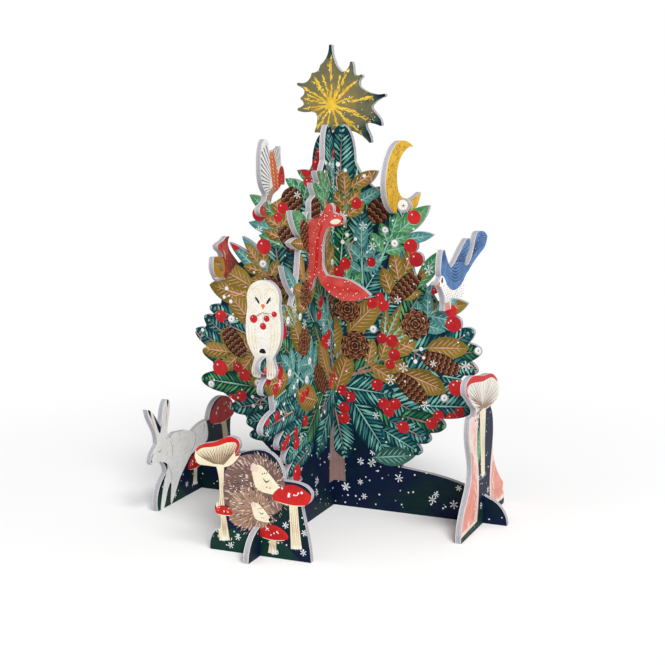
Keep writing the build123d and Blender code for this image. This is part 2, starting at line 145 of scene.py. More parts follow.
class Net:
    """A material's node tree with short ways to add nodes."""

    def __init__(self, name):
        self.material = bpy.data.materials.new(name)
        self.material.use_nodes = True
        self.tree = self.material.node_tree
        self.tree.nodes.clear()
        self.out = self.add("ShaderNodeOutputMaterial")
        self.shader = self.add("ShaderNodeBsdfPrincipled")
        self.link(self.shader.outputs[0], self.out.inputs["Surface"])

    def fill(self, node, inputs):
        for key, value in inputs.items():
            self.put(node.inputs[key], value)
        return node

    def add(self, kind, inputs=None, **values):
        node = self.tree.nodes.new(kind)
        for key, value in values.items():
            setattr(node, key, value)
        return self.fill(node, inputs or {})

    def link(self, a, b):
        self.tree.links.new(a, b)

    def put(self, socket, value):
        if isinstance(value, bpy.types.NodeSocket):
            self.link(value, socket)
        else:
            socket.default_value = value

    def math(self, operation, *values):
        return self.add("ShaderNodeMath", dict(enumerate(values)), operation=operation).outputs[0]

    def step(self, value, low, high, to_low=0.0, to_high=1.0):
        inputs = dict(enumerate((value, low, high, to_low, to_high)))
        return self.add("ShaderNodeMapRange", inputs, interpolation_type="SMOOTHSTEP").outputs[0]

    def mix(self, share, a, b):
        return self.add("ShaderNodeMix", {"Factor": share, 6: a, 7: b}, data_type="RGBA").outputs[2]

    def split(self, vector):
        return self.add("ShaderNodeSeparateXYZ", {0: vector}).outputs

    def length(self, vector):
        return self.add("ShaderNodeVectorMath", {0: vector}, operation="LENGTH").outputs["Value"]

    def motif(self):
        """Millimetres along and across the motif."""
        return self.add("ShaderNodeUVMap", uv_map="motif").outputs[0]

    def tone(self):
        """A random share for each motif."""
        return self.add("ShaderNodeAttribute", attribute_name="tone").outputs["Fac"]

    def place(self):
        return self.add("ShaderNodeTexCoord").outputs["Object"]

    def noise(self, vector, scale, detail=2.0, rough=0.5):
        inputs = {"Vector": vector, "Scale": scale, "Detail": detail, "Roughness": rough}
        return self.add("ShaderNodeTexNoise", inputs).outputs[0]

    def specks(self, vector, scale):
        return self.add("ShaderNodeTexVoronoi", {"Vector": vector, "Scale": scale}).outputs["Distance"]

    def stretch(self, vector, x, y, z=1.0):
        return self.add("ShaderNodeMapping", {"Vector": vector, "Scale": (x, y, z)}).outputs[0]

    def finish(self, colour, roughness=0.5):
        """Printed paper: a faint fibre grain in the colour, and a faint tooth in the surface."""
        grain = self.noise(self.place(), 1500.0, 3.0, 0.6)
        value = self.step(grain, 0.25, 0.75, 0.92, 1.06)
        bump = self.add("ShaderNodeBump", {"Strength": 0.15, "Distance": 0.00005, "Height": grain})
        self.fill(self.shader, {
            "Base Color": self.add("ShaderNodeHueSaturation", {"Color": colour, "Value": value}).outputs[0],
            "Roughness": self.step(grain, 0.3, 0.7, roughness - 0.06, roughness + 0.08),
            "Specular IOR Level": GLOSS,
            "Normal": bump.outputs[0],
        })
        return self.material


# Print materials


def paint(name, colour, second, blotch, own=0.3, roughness=0.5):
    """Opaque paint that drifts between two colours: by place, and by own from motif to motif."""
    net = Net(name)
    wash = net.step(net.noise(net.place(), blotch, 3.0, 0.6), 0.32, 0.70, 0.0, 1.0 - own)
    share = net.math("ADD", wash, net.math("MULTIPLY", net.tone(), own))
    return net.finish(net.mix(share, linear(*colour), linear(*second)), roughness)


def brushed(name, dark, light):
    """Dry brush along the motif: fine streaks between two colours, by own tone as well."""
    net = Net(name)
    streak = net.noise(net.stretch(net.motif(), 0.22, 2.6), 1.0, 3.0, 0.6)
    share = net.math("ADD", net.step(streak, 0.3, 0.7, -0.25, 0.25), net.tone())
    return net.finish(net.mix(net.step(share, 0.0, 1.0), linear(*dark), linear(*light)), 0.48)


def leaf_print(name, dark, light):
    """A leaf: one half in shade, with streaks that run outwards from the midrib."""
    net = Net(name)
    uv = net.motif()
    half = net.step(net.split(uv)[1], -0.1, 0.1, 0.0, 0.34)
    streak = net.step(net.noise(net.stretch(uv, 0.9, 0.35), 1.3, 3.0, 0.6), 0.3, 0.72, 0.0, 0.42)
    share = net.math("ADD", net.math("ADD", half, streak), net.math("MULTIPLY", net.tone(), 0.3))
    return net.finish(net.mix(share, linear(*light), linear(*dark)), 0.46)


def speckled(name, colour, second, speck, scale, size):
    """A painted field with fine irregular specks."""
    net = Net(name)
    wash = net.step(net.noise(net.place(), 220.0, 3.0), 0.3, 0.72)
    wild = net.noise(net.place(), 420.0, 2.0)
    dots = net.step(net.specks(net.place(), scale), size, size + 0.08, 1.0, 0.0)
    dots = net.math("MULTIPLY", dots, net.step(wild, 0.42, 0.58, 0.1, 0.95))
    field = net.mix(wash, linear(*colour), linear(*second))
    return net.finish(net.mix(dots, field, linear(*speck)), 0.42)


# Where the star's ground turns from one colour to the next, and the colours
STAR_BANDS = ((0.20, 0.62, (104, 102, 76)), (0.60, 0.84, (34, 62, 62)), (0.78, 1.02, (8, 22, 40)))


def star_field(name):
    """Khaki in the middle, and blue-black towards the tips of the rays."""
    net = Net(name)
    middle = (STAR_MIDDLE[0] * MM, STAR_FRONT * MM, STAR_MIDDLE[1] * MM)
    offset = net.add("ShaderNodeVectorMath", {0: net.place(), 1: middle}, operation="SUBTRACT").outputs[0]
    x, _, z = net.split(offset)
    wash = net.step(net.noise(net.place(), 170.0, 4.0, 0.6), 0.25, 0.75, -0.16, 0.16)
    lean = net.math("MULTIPLY", net.math("SUBTRACT", x, z), 2.0)
    away = net.math("DIVIDE", net.length(offset), STAR_REACH * MM)
    share = net.math("ADD", away, net.math("ADD", wash, lean))
    colour = linear(134, 120, 74)
    for low, high, further in STAR_BANDS:
        colour = net.mix(net.step(share, low, high), colour, linear(*further))
    return net.finish(colour, 0.44)


def night(name):
    """The dark ground: navy that drifts into bottle green."""
    net = Net(name)
    drift = net.step(net.noise(net.place(), 42.0, 3.0, 0.55), 0.50, 0.66, 0.0, 0.85)
    strokes = net.noise(net.stretch(net.place(), 1.0, 1.0, 2.4), 240.0, 4.0, 0.65)
    brush = net.step(strokes, 0.3, 0.75, 0.0, 0.45)
    colour = net.mix(drift, linear(6, 24, 56), linear(8, 42, 38))
    return net.finish(net.mix(brush, colour, linear(5, 16, 32)), 0.5)


# Two colours each, and for paint the scale of its wash, the share of its own tone and its
# roughness, for a speckled field the specks' colour, scale and size
PAINTS = {
    "dusk": ((10, 58, 66), (8, 40, 54), 150.0),
    "moss": ((14, 58, 46), (12, 44, 42), 150.0),
    "stem": ((176, 140, 128), (142, 112, 104), 300.0),
    "vein": ((222, 168, 148), (206, 148, 122), 300.0),
    "vein_pale": ((166, 208, 190), (132, 186, 170), 300.0),
    "berry": ((208, 44, 46), (164, 28, 38), 320.0, 0.5, 0.42),
    "cone_dark": ((62, 30, 20), (46, 22, 16), 300.0),
    "cone": ((120, 70, 44), (88, 48, 30), 300.0, 0.6),
    "cone_rim": ((190, 146, 112), (164, 116, 84), 300.0, 0.6),
    "snow": ((246, 246, 244), (224, 230, 232), 300.0),
    "grey": ((186, 184, 184), (152, 150, 154), 300.0),
    "ink": ((32, 32, 40), (18, 18, 26), 300.0),
    "trunk": ((158, 130, 124), (130, 104, 100), 130.0),
    "umber": ((96, 66, 22), (70, 48, 18), 300.0),
    "cream": ((240, 231, 206), (230, 214, 178), 240.0),
    "white": ((250, 249, 246), (238, 238, 237), 180.0),
    "down": ((236, 233, 224), (222, 218, 208), 200.0),
    "straw": ((232, 214, 156), (214, 190, 124), 240.0),
    "mustard": ((204, 150, 44), (160, 106, 28), 260.0),
    "orange": ((232, 128, 66), (206, 90, 44), 300.0),
    "rust": ((188, 70, 42), (146, 46, 34), 240.0),
    "red": ((214, 44, 38), (176, 30, 32), 200.0),
    "blue": ((88, 134, 184), (62, 104, 158), 200.0),
    "blue_dark": ((26, 52, 100), (22, 42, 84), 300.0),
    "brown": ((128, 100, 92), (100, 76, 72), 220.0),
    "brown_deep": ((88, 62, 60), (70, 50, 50), 220.0),
    "brown_warm": ((160, 126, 104), (132, 100, 84), 220.0),
    "brown_light": ((192, 166, 142), (160, 130, 110), 220.0, 0.6),
    "salmon": ((230, 160, 146), (212, 130, 118), 200.0),
    "pink": ((238, 218, 208), (224, 194, 184), 200.0),
}
BRUSHED = {
    "needle_teal": ((22, 98, 100), (132, 196, 182)),
    "needle_green": ((20, 92, 66), (104, 172, 118)),
}
LEAVES = {
    "leaf_gold": ((104, 84, 26), (152, 128, 52)),
    "leaf_green": ((34, 100, 60), (98, 162, 104)),
    "leaf_teal": ((40, 104, 110), (104, 164, 160)),
    "leaf_dark": ((18, 56, 54), (66, 112, 100)),
}
SPECKLED = {
    "gold": ((224, 178, 14), (202, 150, 8), (120, 82, 16), 1300.0, 0.20),
    "ray": ((240, 204, 74), (216, 172, 48), (140, 112, 48), 2400.0, 0.22),
    "coral": ((208, 84, 74), (190, 62, 60), (236, 150, 138), 1500.0, 0.10),
}
MATERIALS = {"ground": night("print_ground"), "star": star_field("print_star")}
for make, table in ((paint, PAINTS), (brushed, BRUSHED), (leaf_print, LEAVES), (speckled, SPECKLED)):
    for kind, values in table.items():
        MATERIALS[kind] = make("print_" + kind, *values)


# Shapes in a face's own plane, in millimetres


def polar(centre, radius, angle):
    return (centre[0] + radius * math.cos(angle), centre[1] + radius * math.sin(angle))


def heading(a, b):
    """The angle of the way from a to b."""
    return math.atan2(b[1] - a[1], b[0] - a[0])


def both_ends(middle, length, angle):
    return polar(middle, -length / 2, angle), polar(middle, length / 2, angle)


def along(root, tip, share, off=0.0):
    """A point at a share of the way from root to tip, set off to the left."""
    (ax, ay), (bx, by) = root, tip
    length = math.dist(root, tip)
    ux, uy = (bx - ax) / length, (by - ay) / length
    return (ax + ux * share * length - uy * off, ay + uy * share * length + ux * off)


def lens(root, tip, width, count=7):
    """The two arcs of a leaf."""
    length, half = math.dist(root, tip), width / 2
    radius = (length * length / 4 + half * half) / (2 * half)
    points = []
    for side in (1, -1):
        for i in range(count):
            share = i / count if side == 1 else 1 - i / count
            chord = (share - 0.5) * length
            bulge = math.sqrt(max(radius * radius - chord * chord, 0)) - (radius - half)
            points.append(along(root, tip, share, side * bulge))
    return points


def ellipse(root, tip, width, count=24):
    turns = [math.tau * i / count for i in range(count)]
    return [along(root, tip, 0.5 + 0.5 * math.cos(t), 0.5 * width * math.sin(t)) for t in turns]


def curve(points, steps, closed):
    """Points along the smooth curve through the given ones."""
    n = len(points)
    out = []
    for i in range(n if closed else n - 1):
        quad = [points[(i + k) % n if closed else min(max(i + k, 0), n - 1)] for k in (-1, 0, 1, 2)]
        for s in range(steps):
            t = s / steps
            out.append(tuple(
                0.5 * (2 * b + (c - a) * t + (2 * a - 5 * b + 4 * c - d) * t * t
                       + (3 * b - a - 3 * c + d) * t ** 3)
                for a, b, c, d in zip(*quad)
            ))
    return out if closed else out + [points[-1]]


def blob(points, steps=5):
    return curve(points, steps, True)


def stroke(points, start, middle, end, steps=4):
    """A brush stroke through the points, with a width at its start, middle and end."""
    line = curve(points, steps, False)
    left, right = [], []
    for i, point in enumerate(line):
        before, after = line[max(i - 1, 0)], line[min(i + 1, len(line) - 1)]
        length = math.dist(before, after) or 1.0
        nx, ny = -(after[1] - before[1]) / length, (after[0] - before[0]) / length
        s = i / (len(line) - 1)
        width = start + (middle - start) * s * 2 if s < 0.5 else middle + (end - middle) * (s * 2 - 1)
        left.append((point[0] + nx * width / 2, point[1] + ny * width / 2))
        right.append((point[0] - nx * width / 2, point[1] - ny * width / 2))
    return left + right[::-1]


def turning(polygon):
    return sum(a[0] * b[1] - b[0] * a[1] for a, b in zip(polygon, polygon[1:] + polygon[:1]))


def winds(centres, polygon):
    """How often the polygon goes round each point, worked out a block of points at a time."""
    ring = np.array(polygon)
    after = np.roll(ring, -1, axis=0)
    ax, ay, bx, by = ring[:, 0], ring[:, 1], after[:, 0], after[:, 1]
    turns = np.zeros(len(centres), dtype=int)
    for first in range(0, len(centres), BLOCK):
        x, y = centres[first:first + BLOCK, :1], centres[first:first + BLOCK, 1:]
        side = (bx - ax) * (y - ay) - (x - ax) * (by - ay)
        up = (ay <= y) & (by > y) & (side > 0)
        down = (ay > y) & (by <= y) & (side < 0)
        turns[first:first + BLOCK] = up.sum(axis=1) - down.sum(axis=1)
    return turns


def inside(point, polygon):
    return winds(np.array([point]), polygon)[0] != 0


NEEDLE_PITCH = 1.9
VEINS = {"leaf_gold": "vein", "leaf_green": "vein_pale", "leaf_teal": "vein_pale", "leaf_dark": "vein_pale"}


class Art:
    """The motifs of one printed face, from the lowest to the topmost."""

    def __init__(self, node, seed, outline):
        self.rng = random.Random(seed)
        self.motifs = []
        self.outline = outline
        self.seat, self.height = SEATS.get(node, ((0, 0), TREE_HEIGHT))
        self.add("ground", outline)

    def at(self, a, b):
        """The point at two shares of the piece's height from its seat."""
        return (self.seat[0] + self.height * a, self.seat[1] + self.height * b)

    def place(self, *shares):
        return [self.at(a, b) for a, b in shares]

    def patch(self, kind, *shares, steps=5):
        """A smooth shape through points given in shares."""
        self.add(kind, blob(self.place(*shares), steps))

    def add(self, kind, polygon, origin=(0, 0), angle=0.0, tone=None):
        self.motifs.append((kind, polygon, origin, angle, self.rng.random() if tone is None else tone))

    def disc(self, kind, centre, radius, count=14):
        self.add(kind, [polar(centre, radius, math.tau * i / count) for i in range(count)], centre)

    def line(self, kind, points, widths, steps=3):
        self.add(kind, stroke(points, *widths, steps), points[0], heading(points[0], points[-1]))

    def kite(self, kind, a, b, width, tone=None):
        """One dab of the brush, widest before its middle."""
        corners = [a, along(a, b, 0.45, -width / 2), b, along(a, b, 0.45, width / 2)]
        self.add(kind, corners, a, heading(a, b), tone)

    def tuft(self, kind, spot, low, high, width):
        """A short dab that points up, between two lengths."""
        rng = self.rng
        self.kite(kind, spot, (spot[0] + rng.uniform(-0.4, 0.4), spot[1] + rng.uniform(low, high)), width)

    def leaf(self, kind, root, tip, width, vein=None):
        vein = vein or VEINS[kind]
        self.add(kind, lens(root, tip, width), root, heading(root, tip))
        length = math.dist(root, tip)
        count = max(3, round(length / 3.0))
        for i in range(count):
            share = 0.10 + 0.72 * i / count
            reach = 0.42 * width * math.sin(math.pi * min(share + 0.16, 0.95))
            for side in (1, -1):
                end = along(root, tip, share + 1.15 * reach / length, side * reach)
                self.kite(vein, along(root, tip, share), end, 0.34)
        self.kite(vein, along(root, tip, -0.04), along(root, tip, 0.96), 0.62)

    def spray(self, root, tip, width, teal):
        """Needles on both sides of a stem, on a dark ground. teal: the chance of teal ones."""
        rng = self.rng
        kind, ground = ("needle_teal", "dusk") if rng.random() < teal else ("needle_green", "moss")
        self.add(ground, ellipse(root, tip, width, 20), root, heading(root, tip))
        length = math.dist(root, tip)
        count = int(length / NEEDLE_PITCH)
        level = rng.uniform(-0.12, 0.12)
        for i in range(count):
            share = (i + 0.5) / count
            for side in (1, -1):
                lean = rng.uniform(0.50, 0.66)
                bulge = 0.5 * width * math.sqrt(max(1 - (2 * min(share + 0.14, 0.99) - 1) ** 2, 0.02))
                reach = bulge * rng.uniform(0.90, 1.04)
                start = along(root, tip, share)
                end = along(root, tip, share + reach / math.tan(lean) / length * 0.62, side * reach)
                tone = min(max(rng.choice((0.10, 0.30, 0.45, 0.65, 0.95)) + level, 0), 1)
                self.kite(kind, start, end, rng.uniform(0.85, 1.2), tone)
        self.kite("vein_pale" if rng.random() < 0.5 else "stem", root, along(root, tip, 0.94), 0.7)

    def run(self, low, high):
        """The stretch of the outline that lies in a box, in the outline's order."""
        held = [low[0] < x < high[0] and low[1] < y < high[1] for x, y in self.outline]
        count = len(held)
        start = next(i for i in range(count) if held[i] and not held[i - 1])
        out = []
        while held[(start + len(out)) % count] and len(out) < count:
            out.append(self.outline[(start + len(out)) % count])
        return out

    def berry(self, centre, radius):
        self.disc("berry", centre, radius)
        self.disc("pink", (centre[0] - 0.35 * radius, centre[1] + 0.38 * radius), 0.13 * radius, 6)

    def bead(self, centre, radius):
        self.disc("grey", centre, radius)
        self.disc("white", (centre[0] - 0.08 * radius, centre[1] + 0.10 * radius), 0.74 * radius)
        for i in range(5):
            self.kite("grey", centre, polar(centre, 0.46 * radius, 0.3 + math.tau * i / 5), 0.28)
        self.disc("brown", centre, 0.14 * radius, 6)

    def cone(self, root, tip, width):
        """A fir cone: rows of rounded scales with pale rims."""
        angle = heading(root, tip)
        self.add("cone_dark", ellipse(root, tip, width), root, angle)
        length = math.dist(root, tip)
        rows = max(5, round(length / 2.1))
        for i in range(rows):
            share = 0.93 - 0.88 * i / (rows - 1)
            half = 0.5 * width * math.sqrt(max(1 - (2 * share - 1) ** 2, 0.05)) * 0.96
            count = 4 if i % 2 else 3
            for k in range(count):
                left = half * (2 * k / count - 1)
                right = left + 2 * half / count
                middle = (left + right) / 2
                bow = 0.55 + 0.35 * (1 - abs(left + right) / (2 * half))
                arc = [along(root, tip, share, left * 0.97), along(root, tip, share + bow / length, middle),
                       along(root, tip, share, right * 0.97)]
                scale = curve(arc, 3, False) + [along(root, tip, share - 1.0 / length, middle)]
                self.add("cone", scale, root, angle)
                self.line("cone_rim", arc, (0.10, 0.34, 0.10), 2)

    def rosette(self, centre, radius):
        """A cone seen from its end: rings of scales round the middle."""
        self.disc("cone_dark", centre, radius, 26)
        for ring, (share, count) in enumerate(((0.88, 10), (0.66, 8), (0.44, 6), (0.23, 4))):
            turn = self.rng.random()
            for k in range(count):
                a = math.tau * (k + 0.5 * (ring % 2) + turn) / count
                d = 0.92 * math.pi / count
                r = share * radius
                arc = [polar(centre, far * r, a + off) for far, off in ((0.90, -d), (1.10, 0), (0.90, d))]
                self.add("cone", curve(arc, 3, False) + [polar(centre, 0.74 * r, a)], centre, a)
                self.line("cone_rim", arc, (0.10, 0.38, 0.10), 2)
        self.disc("cone", centre, 0.09 * radius, 8)

    def flake(self, centre, radius):
        turn = self.rng.random()
        for i in range(6):
            self.kite("snow", centre, polar(centre, radius, turn + math.pi * i / 3), 0.42)
            self.disc("snow", polar(centre, 0.78 * radius, turn + math.pi * i / 3), 0.16 * radius, 6)

    def dots(self, kind, box, count, low, high):
        (x0, y0), (x1, y1) = box
        for _ in range(count):
            self.disc(kind, (self.rng.uniform(x0, x1), self.rng.uniform(y0, y1)),
                      self.rng.uniform(low, high), 6)


# The tree panels' print: generic winter foliage, dealt out by a seeded throw


def deal(rng, count, low, high, radius, taken, allowed):
    """Up to count free spots between two heights, each clear of those already taken."""
    spots = []
    for _ in range(count * 60):
        spot = (rng.uniform(-70, 70), rng.uniform(low, high))
        clear = all(math.dist(spot, other) > 0.86 * (radius + size) for other, size in taken)
        if clear and allowed(spot):
            spots.append(spot)
            taken.append((spot, radius))
            if len(spots) == count:
                break
    return spots


# Where the twigs spread from, and the rows of needle sprays
HEART = (0, 52)
SPRAY_ROW = 11.0
SPRAY_STEP = 14.0

# Twigs: kind, count, lowest, highest, size, and where along them each leaf sits, its turn and length
TWIGS = (
    ("leaf_gold", 5, 56, 100, 15.5), ("leaf_teal", 3, 60, 108, 13.0), ("leaf_gold", 3, 84, 128, 12.0),
    ("leaf_green", 4, 86, 134, 11.5), ("leaf_teal", 1, 112, 140, 9.0),
)
TWIG_LEAVES = (
    (0.30, 0.95, 0.80), (0.36, -0.95, 0.80), (0.68, 0.78, 0.80), (0.74, -0.78, 0.78), (0.98, 0.0, 0.86),
)
# Single leaves: kind, count, lowest, highest. Bunches of slim ones, two of each: kind, lowest, highest
SINGLES = (
    ("leaf_gold", 9, 44, 104), ("leaf_green", 3, 80, 130), ("leaf_dark", 3, 40, 120),
    ("leaf_gold", 2, 100, 132),
)
BUNCHES = (("leaf_green", 92, 138), ("leaf_green", 92, 138), ("leaf_gold", 66, 96), ("leaf_teal", 84, 112))


def lobe(reach, a, b):
    return (reach * (a / 1000), TREE_HEIGHT * (b / 1000))


def tree_art(art, halves):
    rng = art.rng

    def foliage(point):
        x, y = point
        return y > 27 + 0.22 * min(abs(x), 40) and inside(point, art.outline)

    def inner(point):
        x, y = point
        return y > 50 and foliage(point) and inside((x / 0.84, 66 + (y - 66) / 0.94), art.outline)

    def outward(point, spread):
        return heading(HEART, point) + rng.uniform(-spread, spread)

    art.dots("snow", ((-75, 1), (75, 30)), 150, 0.16, 0.44)
    for _ in range(26):
        art.flake((rng.uniform(-74, 74), rng.uniform(3, 24)), rng.uniform(1.3, 2.1))
    art.add("trunk", [(-6.0, 10.5), (-4.9, 34), (-3.6, 62), (3.6, 62), (5.0, 34), (6.4, 10.5)])
    for x in (-3.2, -1.2, 1.6, 3.6):
        art.line("stem", [(x * 1.3, 12), (x * 1.05, 30), (x * 0.7, 52)], (0.2, 0.42, 0.1))
    sprays = []
    height = 26.0
    row = 0
    while height < TREE_HEIGHT:
        x = -72.0 + 7.0 * (row % 2)
        while x < 74:
            spot = (x + rng.uniform(-2.8, 2.8), height + rng.uniform(-2.2, 2.2))
            if foliage(spot):
                angle = outward(spot, 0.30)
                low = height < 62
                length = rng.uniform(28, 34) if low else rng.uniform(22, 27)
                width = rng.uniform(12.5, 14.5) if low else rng.uniform(10, 12)
                sprays.append((*both_ends(spot, length, angle), width, math.dist(spot, HEART)))
            x += SPRAY_STEP
        height += SPRAY_ROW
        row += 1
    sprays.sort(key=lambda item: -item[3])
    for root, tip, width, _ in sprays:
        art.spray(root, tip, width, 0.72)
    for angle in (0.35, 0.85, 1.25, 1.9, 2.3, 2.8):
        end = polar(HEART, rng.uniform(24, 34), angle + rng.uniform(-0.1, 0.1))
        art.line("stem", [HEART, polar(HEART, 14, angle), end], (1.8, 1.2, 0.4))

    # The motifs that fill the lobes of the cut edge
    for side, edge, reach in halves:
        for *ends, width in edge["sprays"]:
            root, tip = lobe(side * reach, *ends[:2]), lobe(side * reach, *ends[2:])
            art.spray(root, tip, TREE_HEIGHT * (width / 1000) * 1.04, 0.75)
        for *ends, width, kind in edge["leaves"]:
            root, tip = lobe(side * reach, *ends[:2]), lobe(side * reach, *ends[2:])
            art.leaf(kind, root, tip, TREE_HEIGHT * (width / 1000) * 1.04)

    # Leafy twigs, then cones, berries, beads and snow
    taken = []
    for kind, count, low, high, size in TWIGS:
        for spot in deal(rng, count, low, high, 0.62 * size, taken, inner):
            angle = outward(spot, 0.45)
            root, tip = polar(spot, -0.75 * size, angle), polar(spot, 0.30 * size, angle)
            art.line("stem" if kind == "leaf_gold" else "vein_pale", [root, spot, tip], (0.9, 0.7, 0.4))
            for share, turn, long in TWIG_LEAVES:
                start = along(root, tip, share)
                length = long * size * rng.uniform(0.92, 1.08)
                end = polar(start, length, angle + turn + rng.uniform(-0.12, 0.12))
                art.leaf(kind, start, end, 0.50 * length)
    for kind, count, low, high in SINGLES:
        for spot in deal(rng, count, low, high, 7.6, taken, inner):
            angle = outward(spot, 0.5)
            length = rng.uniform(17, 22)
            art.leaf(kind, *both_ends(spot, length, angle), 0.50 * length)
    for kind, low, high in BUNCHES:
        for spot in deal(rng, 2, low, high, 6.5, taken, inner):
            angle = outward(spot, 0.3)
            root = polar(spot, -9, angle)
            for turn in (-0.55, 0.5, -0.2, 0.16):
                end = polar(root, rng.uniform(15, 19), angle + turn)
                art.leaf(kind, root, end, rng.uniform(3.6, 4.6), "vein_pale")
    taken = []
    for side, edge, reach in halves:
        for a, b, radius, kind in edge["rounds"]:
            spot = lobe(side * reach, a, b)
            size = TREE_HEIGHT * (radius / 1000)
            taken.append((spot, size))
            if kind == "cone":
                angle = outward(spot, 0.5)
                art.cone(*both_ends(spot, 2.12 * size, angle), 1.96 * size)
            elif kind == "bead":
                art.bead(spot, size)
            else:
                art.berry(spot, size)
    for spot in deal(rng, 4, 48, 100, 8.0, taken, inner):
        art.rosette(spot, rng.uniform(5.4, 6.4))
    for spot in deal(rng, 8, 42, 122, 8.5, taken, inner):
        angle = outward(spot, 0.7)
        length = rng.uniform(14, 18)
        art.cone(*both_ends(spot, length, angle), rng.uniform(7.4, 8.8))
    for spot in deal(rng, 12, 40, 140, 5.0, taken, foliage):
        angle = outward(spot, 0.9)
        start = polar(spot, -6, angle)
        art.line("vein", [start, polar(start, 5, angle + 0.2), spot], (0.5, 0.5, 0.3))
        for turn, reach in ((-0.9, 3.6), (0.1, 4.4), (1.0, 3.4)):
            bud = polar(spot, reach, angle + turn)
            art.kite("vein", spot, bud, 0.4)
            art.disc("snow", bud, rng.uniform(0.7, 1.0), 8)
    for spot in deal(rng, 28, 34, 146, 4.2, taken, foliage):
        angle = rng.uniform(0, math.tau)
        for turn in [(0,), (0, 2.2), (0, 1.6, 3.6)][rng.choice((0, 1, 1, 2))]:
            bud = polar(spot, 2.5, angle + turn)
            art.kite("stem", spot, bud, 0.4)
            art.berry(bud, rng.uniform(1.9, 2.7))
    for spot in deal(rng, 12, 44, 134, 3.0, taken, foliage):
        art.bead(spot, rng.uniform(1.5, 1.9))
    for spot in deal(rng, 22, 30, 146, 3.4, [], foliage):
        art.flake(spot, rng.uniform(1.5, 2.3))
    art.dots("snow", ((-72, 24), (72, TREE_HEIGHT)), 240, 0.20, 0.50)


# The small pieces' prints, in shares of each piece's height from its seat


def star_art(art):
    rng = art.rng
    art.add("star", art.outline)
    reaches = [math.dist(point, STAR_MIDDLE) for point in art.outline]
    count = len(reaches)
    tips = []
    for i, point in enumerate(art.outline):
        if reaches[i] > 10 and reaches[i] == max(reaches[(i + k) % count] for k in range(-4, 5)):
            tips.append((heading(STAR_MIDDLE, point), 0.80 * reaches[i]))
    tips += [(math.tau * (i + rng.uniform(0.3, 0.7)) / 12, rng.uniform(8, 12)) for i in range(12)]
    for angle, reach in tips:
        for _ in range(int(2.6 * reach)):
            share = rng.uniform(0.0, 0.95)
            a = angle + rng.gauss(0, 0.022)
            middle = polar(STAR_MIDDLE, share * reach, a)
            spot = polar(middle, rng.uniform(-0.45, 0.45) * (1.05 - share), a + math.pi / 2)
            art.kite("ray", spot, polar(spot, rng.uniform(0.8, 2.4), a), rng.uniform(0.30, 0.62))
        for _ in range(8):
            spot = polar(STAR_MIDDLE, rng.uniform(0.2, 1.1) * reach, angle + rng.gauss(0, 0.06))
            art.disc("ray", spot, rng.uniform(0.10, 0.24), 5)
    art.disc("ray", STAR_MIDDLE, 1.3, 12)
    art.dots("snow", ((-18, 148), (19, 186)), 46, 0.14, 0.34)


def moon_art(art):
    rng = art.rng
    art.add("gold", art.outline)
    for _ in range(300):
        spot = (rng.uniform(-14, 27), rng.uniform(120, 150))
        art.tuft("umber", spot, 0.5, 1.0, 0.62)
    art.dots("cream", ((-14, 120), (27, 150)), 60, 0.12, 0.28)


def flying_bird_art(art):
    at = art.at
    art.add("white", art.outline)
    pivot = at(0.30, 0.22)
    for i in range(19):
        angle = math.radians(88 + 6.6 * i)
        reach = 31 * (0.66 - 0.011 * abs(i - 8))
        art.line("ink", [polar(pivot, 0.36 * reach, angle), polar(pivot, 1.02 * reach, angle)],
                 (0.16, 0.36, 0.7), 1)
    art.patch("brown_light", (0.12, 0.20), (0.34, 0.22), (0.38, 0.08), (0.20, -0.06), (0.02, -0.26),
              (-0.28, -0.18), (-0.10, 0.0))
    for i in range(14):
        share = i / 13
        art.kite("cream", at(0.30 - 0.42 * share, 0.14 - 0.27 * share),
                 at(0.24 - 0.42 * share, 0.08 - 0.27 * share), 0.9)
    art.patch("white", (0.24, 0.90), (0.20, 0.60), (0.30, 0.40), (0.60, 0.36), (0.60, 0.90))
    for i in range(7):
        angle = math.radians(84 + 8 * i)
        art.line("ink", [polar(at(0.42, 0.36), 4.0, angle), polar(at(0.42, 0.36), 14.5, angle)],
                 (0.14, 0.40, 0.8), 1)
    art.patch("orange", (0.08, 0.68), (0.18, 0.68), (0.27, 0.52), (0.36, 0.36), (0.38, 0.18), (0.24, 0.12),
              (0.15, 0.28), (0.10, 0.48))
    for row in range(9):
        for lane in range(3):
            a, b = 0.14 + 0.055 * lane + 0.010 * row, 0.62 - 0.052 * row
            art.kite("cream" if lane != 1 else "red", at(a, b), at(a + 0.03, b - 0.03), 0.62)
    art.patch("red", (0.34, 0.32), (0.40, 0.46), (0.50, 0.46), (0.60, 0.36), (0.60, 0.18), (0.46, 0.14),
              (0.36, 0.20))
    art.patch("coral", (-0.28, -0.02), (-0.08, -0.03), (0.0, -0.14), (-0.04, -0.26), (-0.3, -0.22))
    art.disc("ink", at(0.455, 0.38), 0.62, 10)
    art.dots("snow", (at(-0.24, -0.18), at(0.5, 0.7)), 40, 0.12, 0.24)


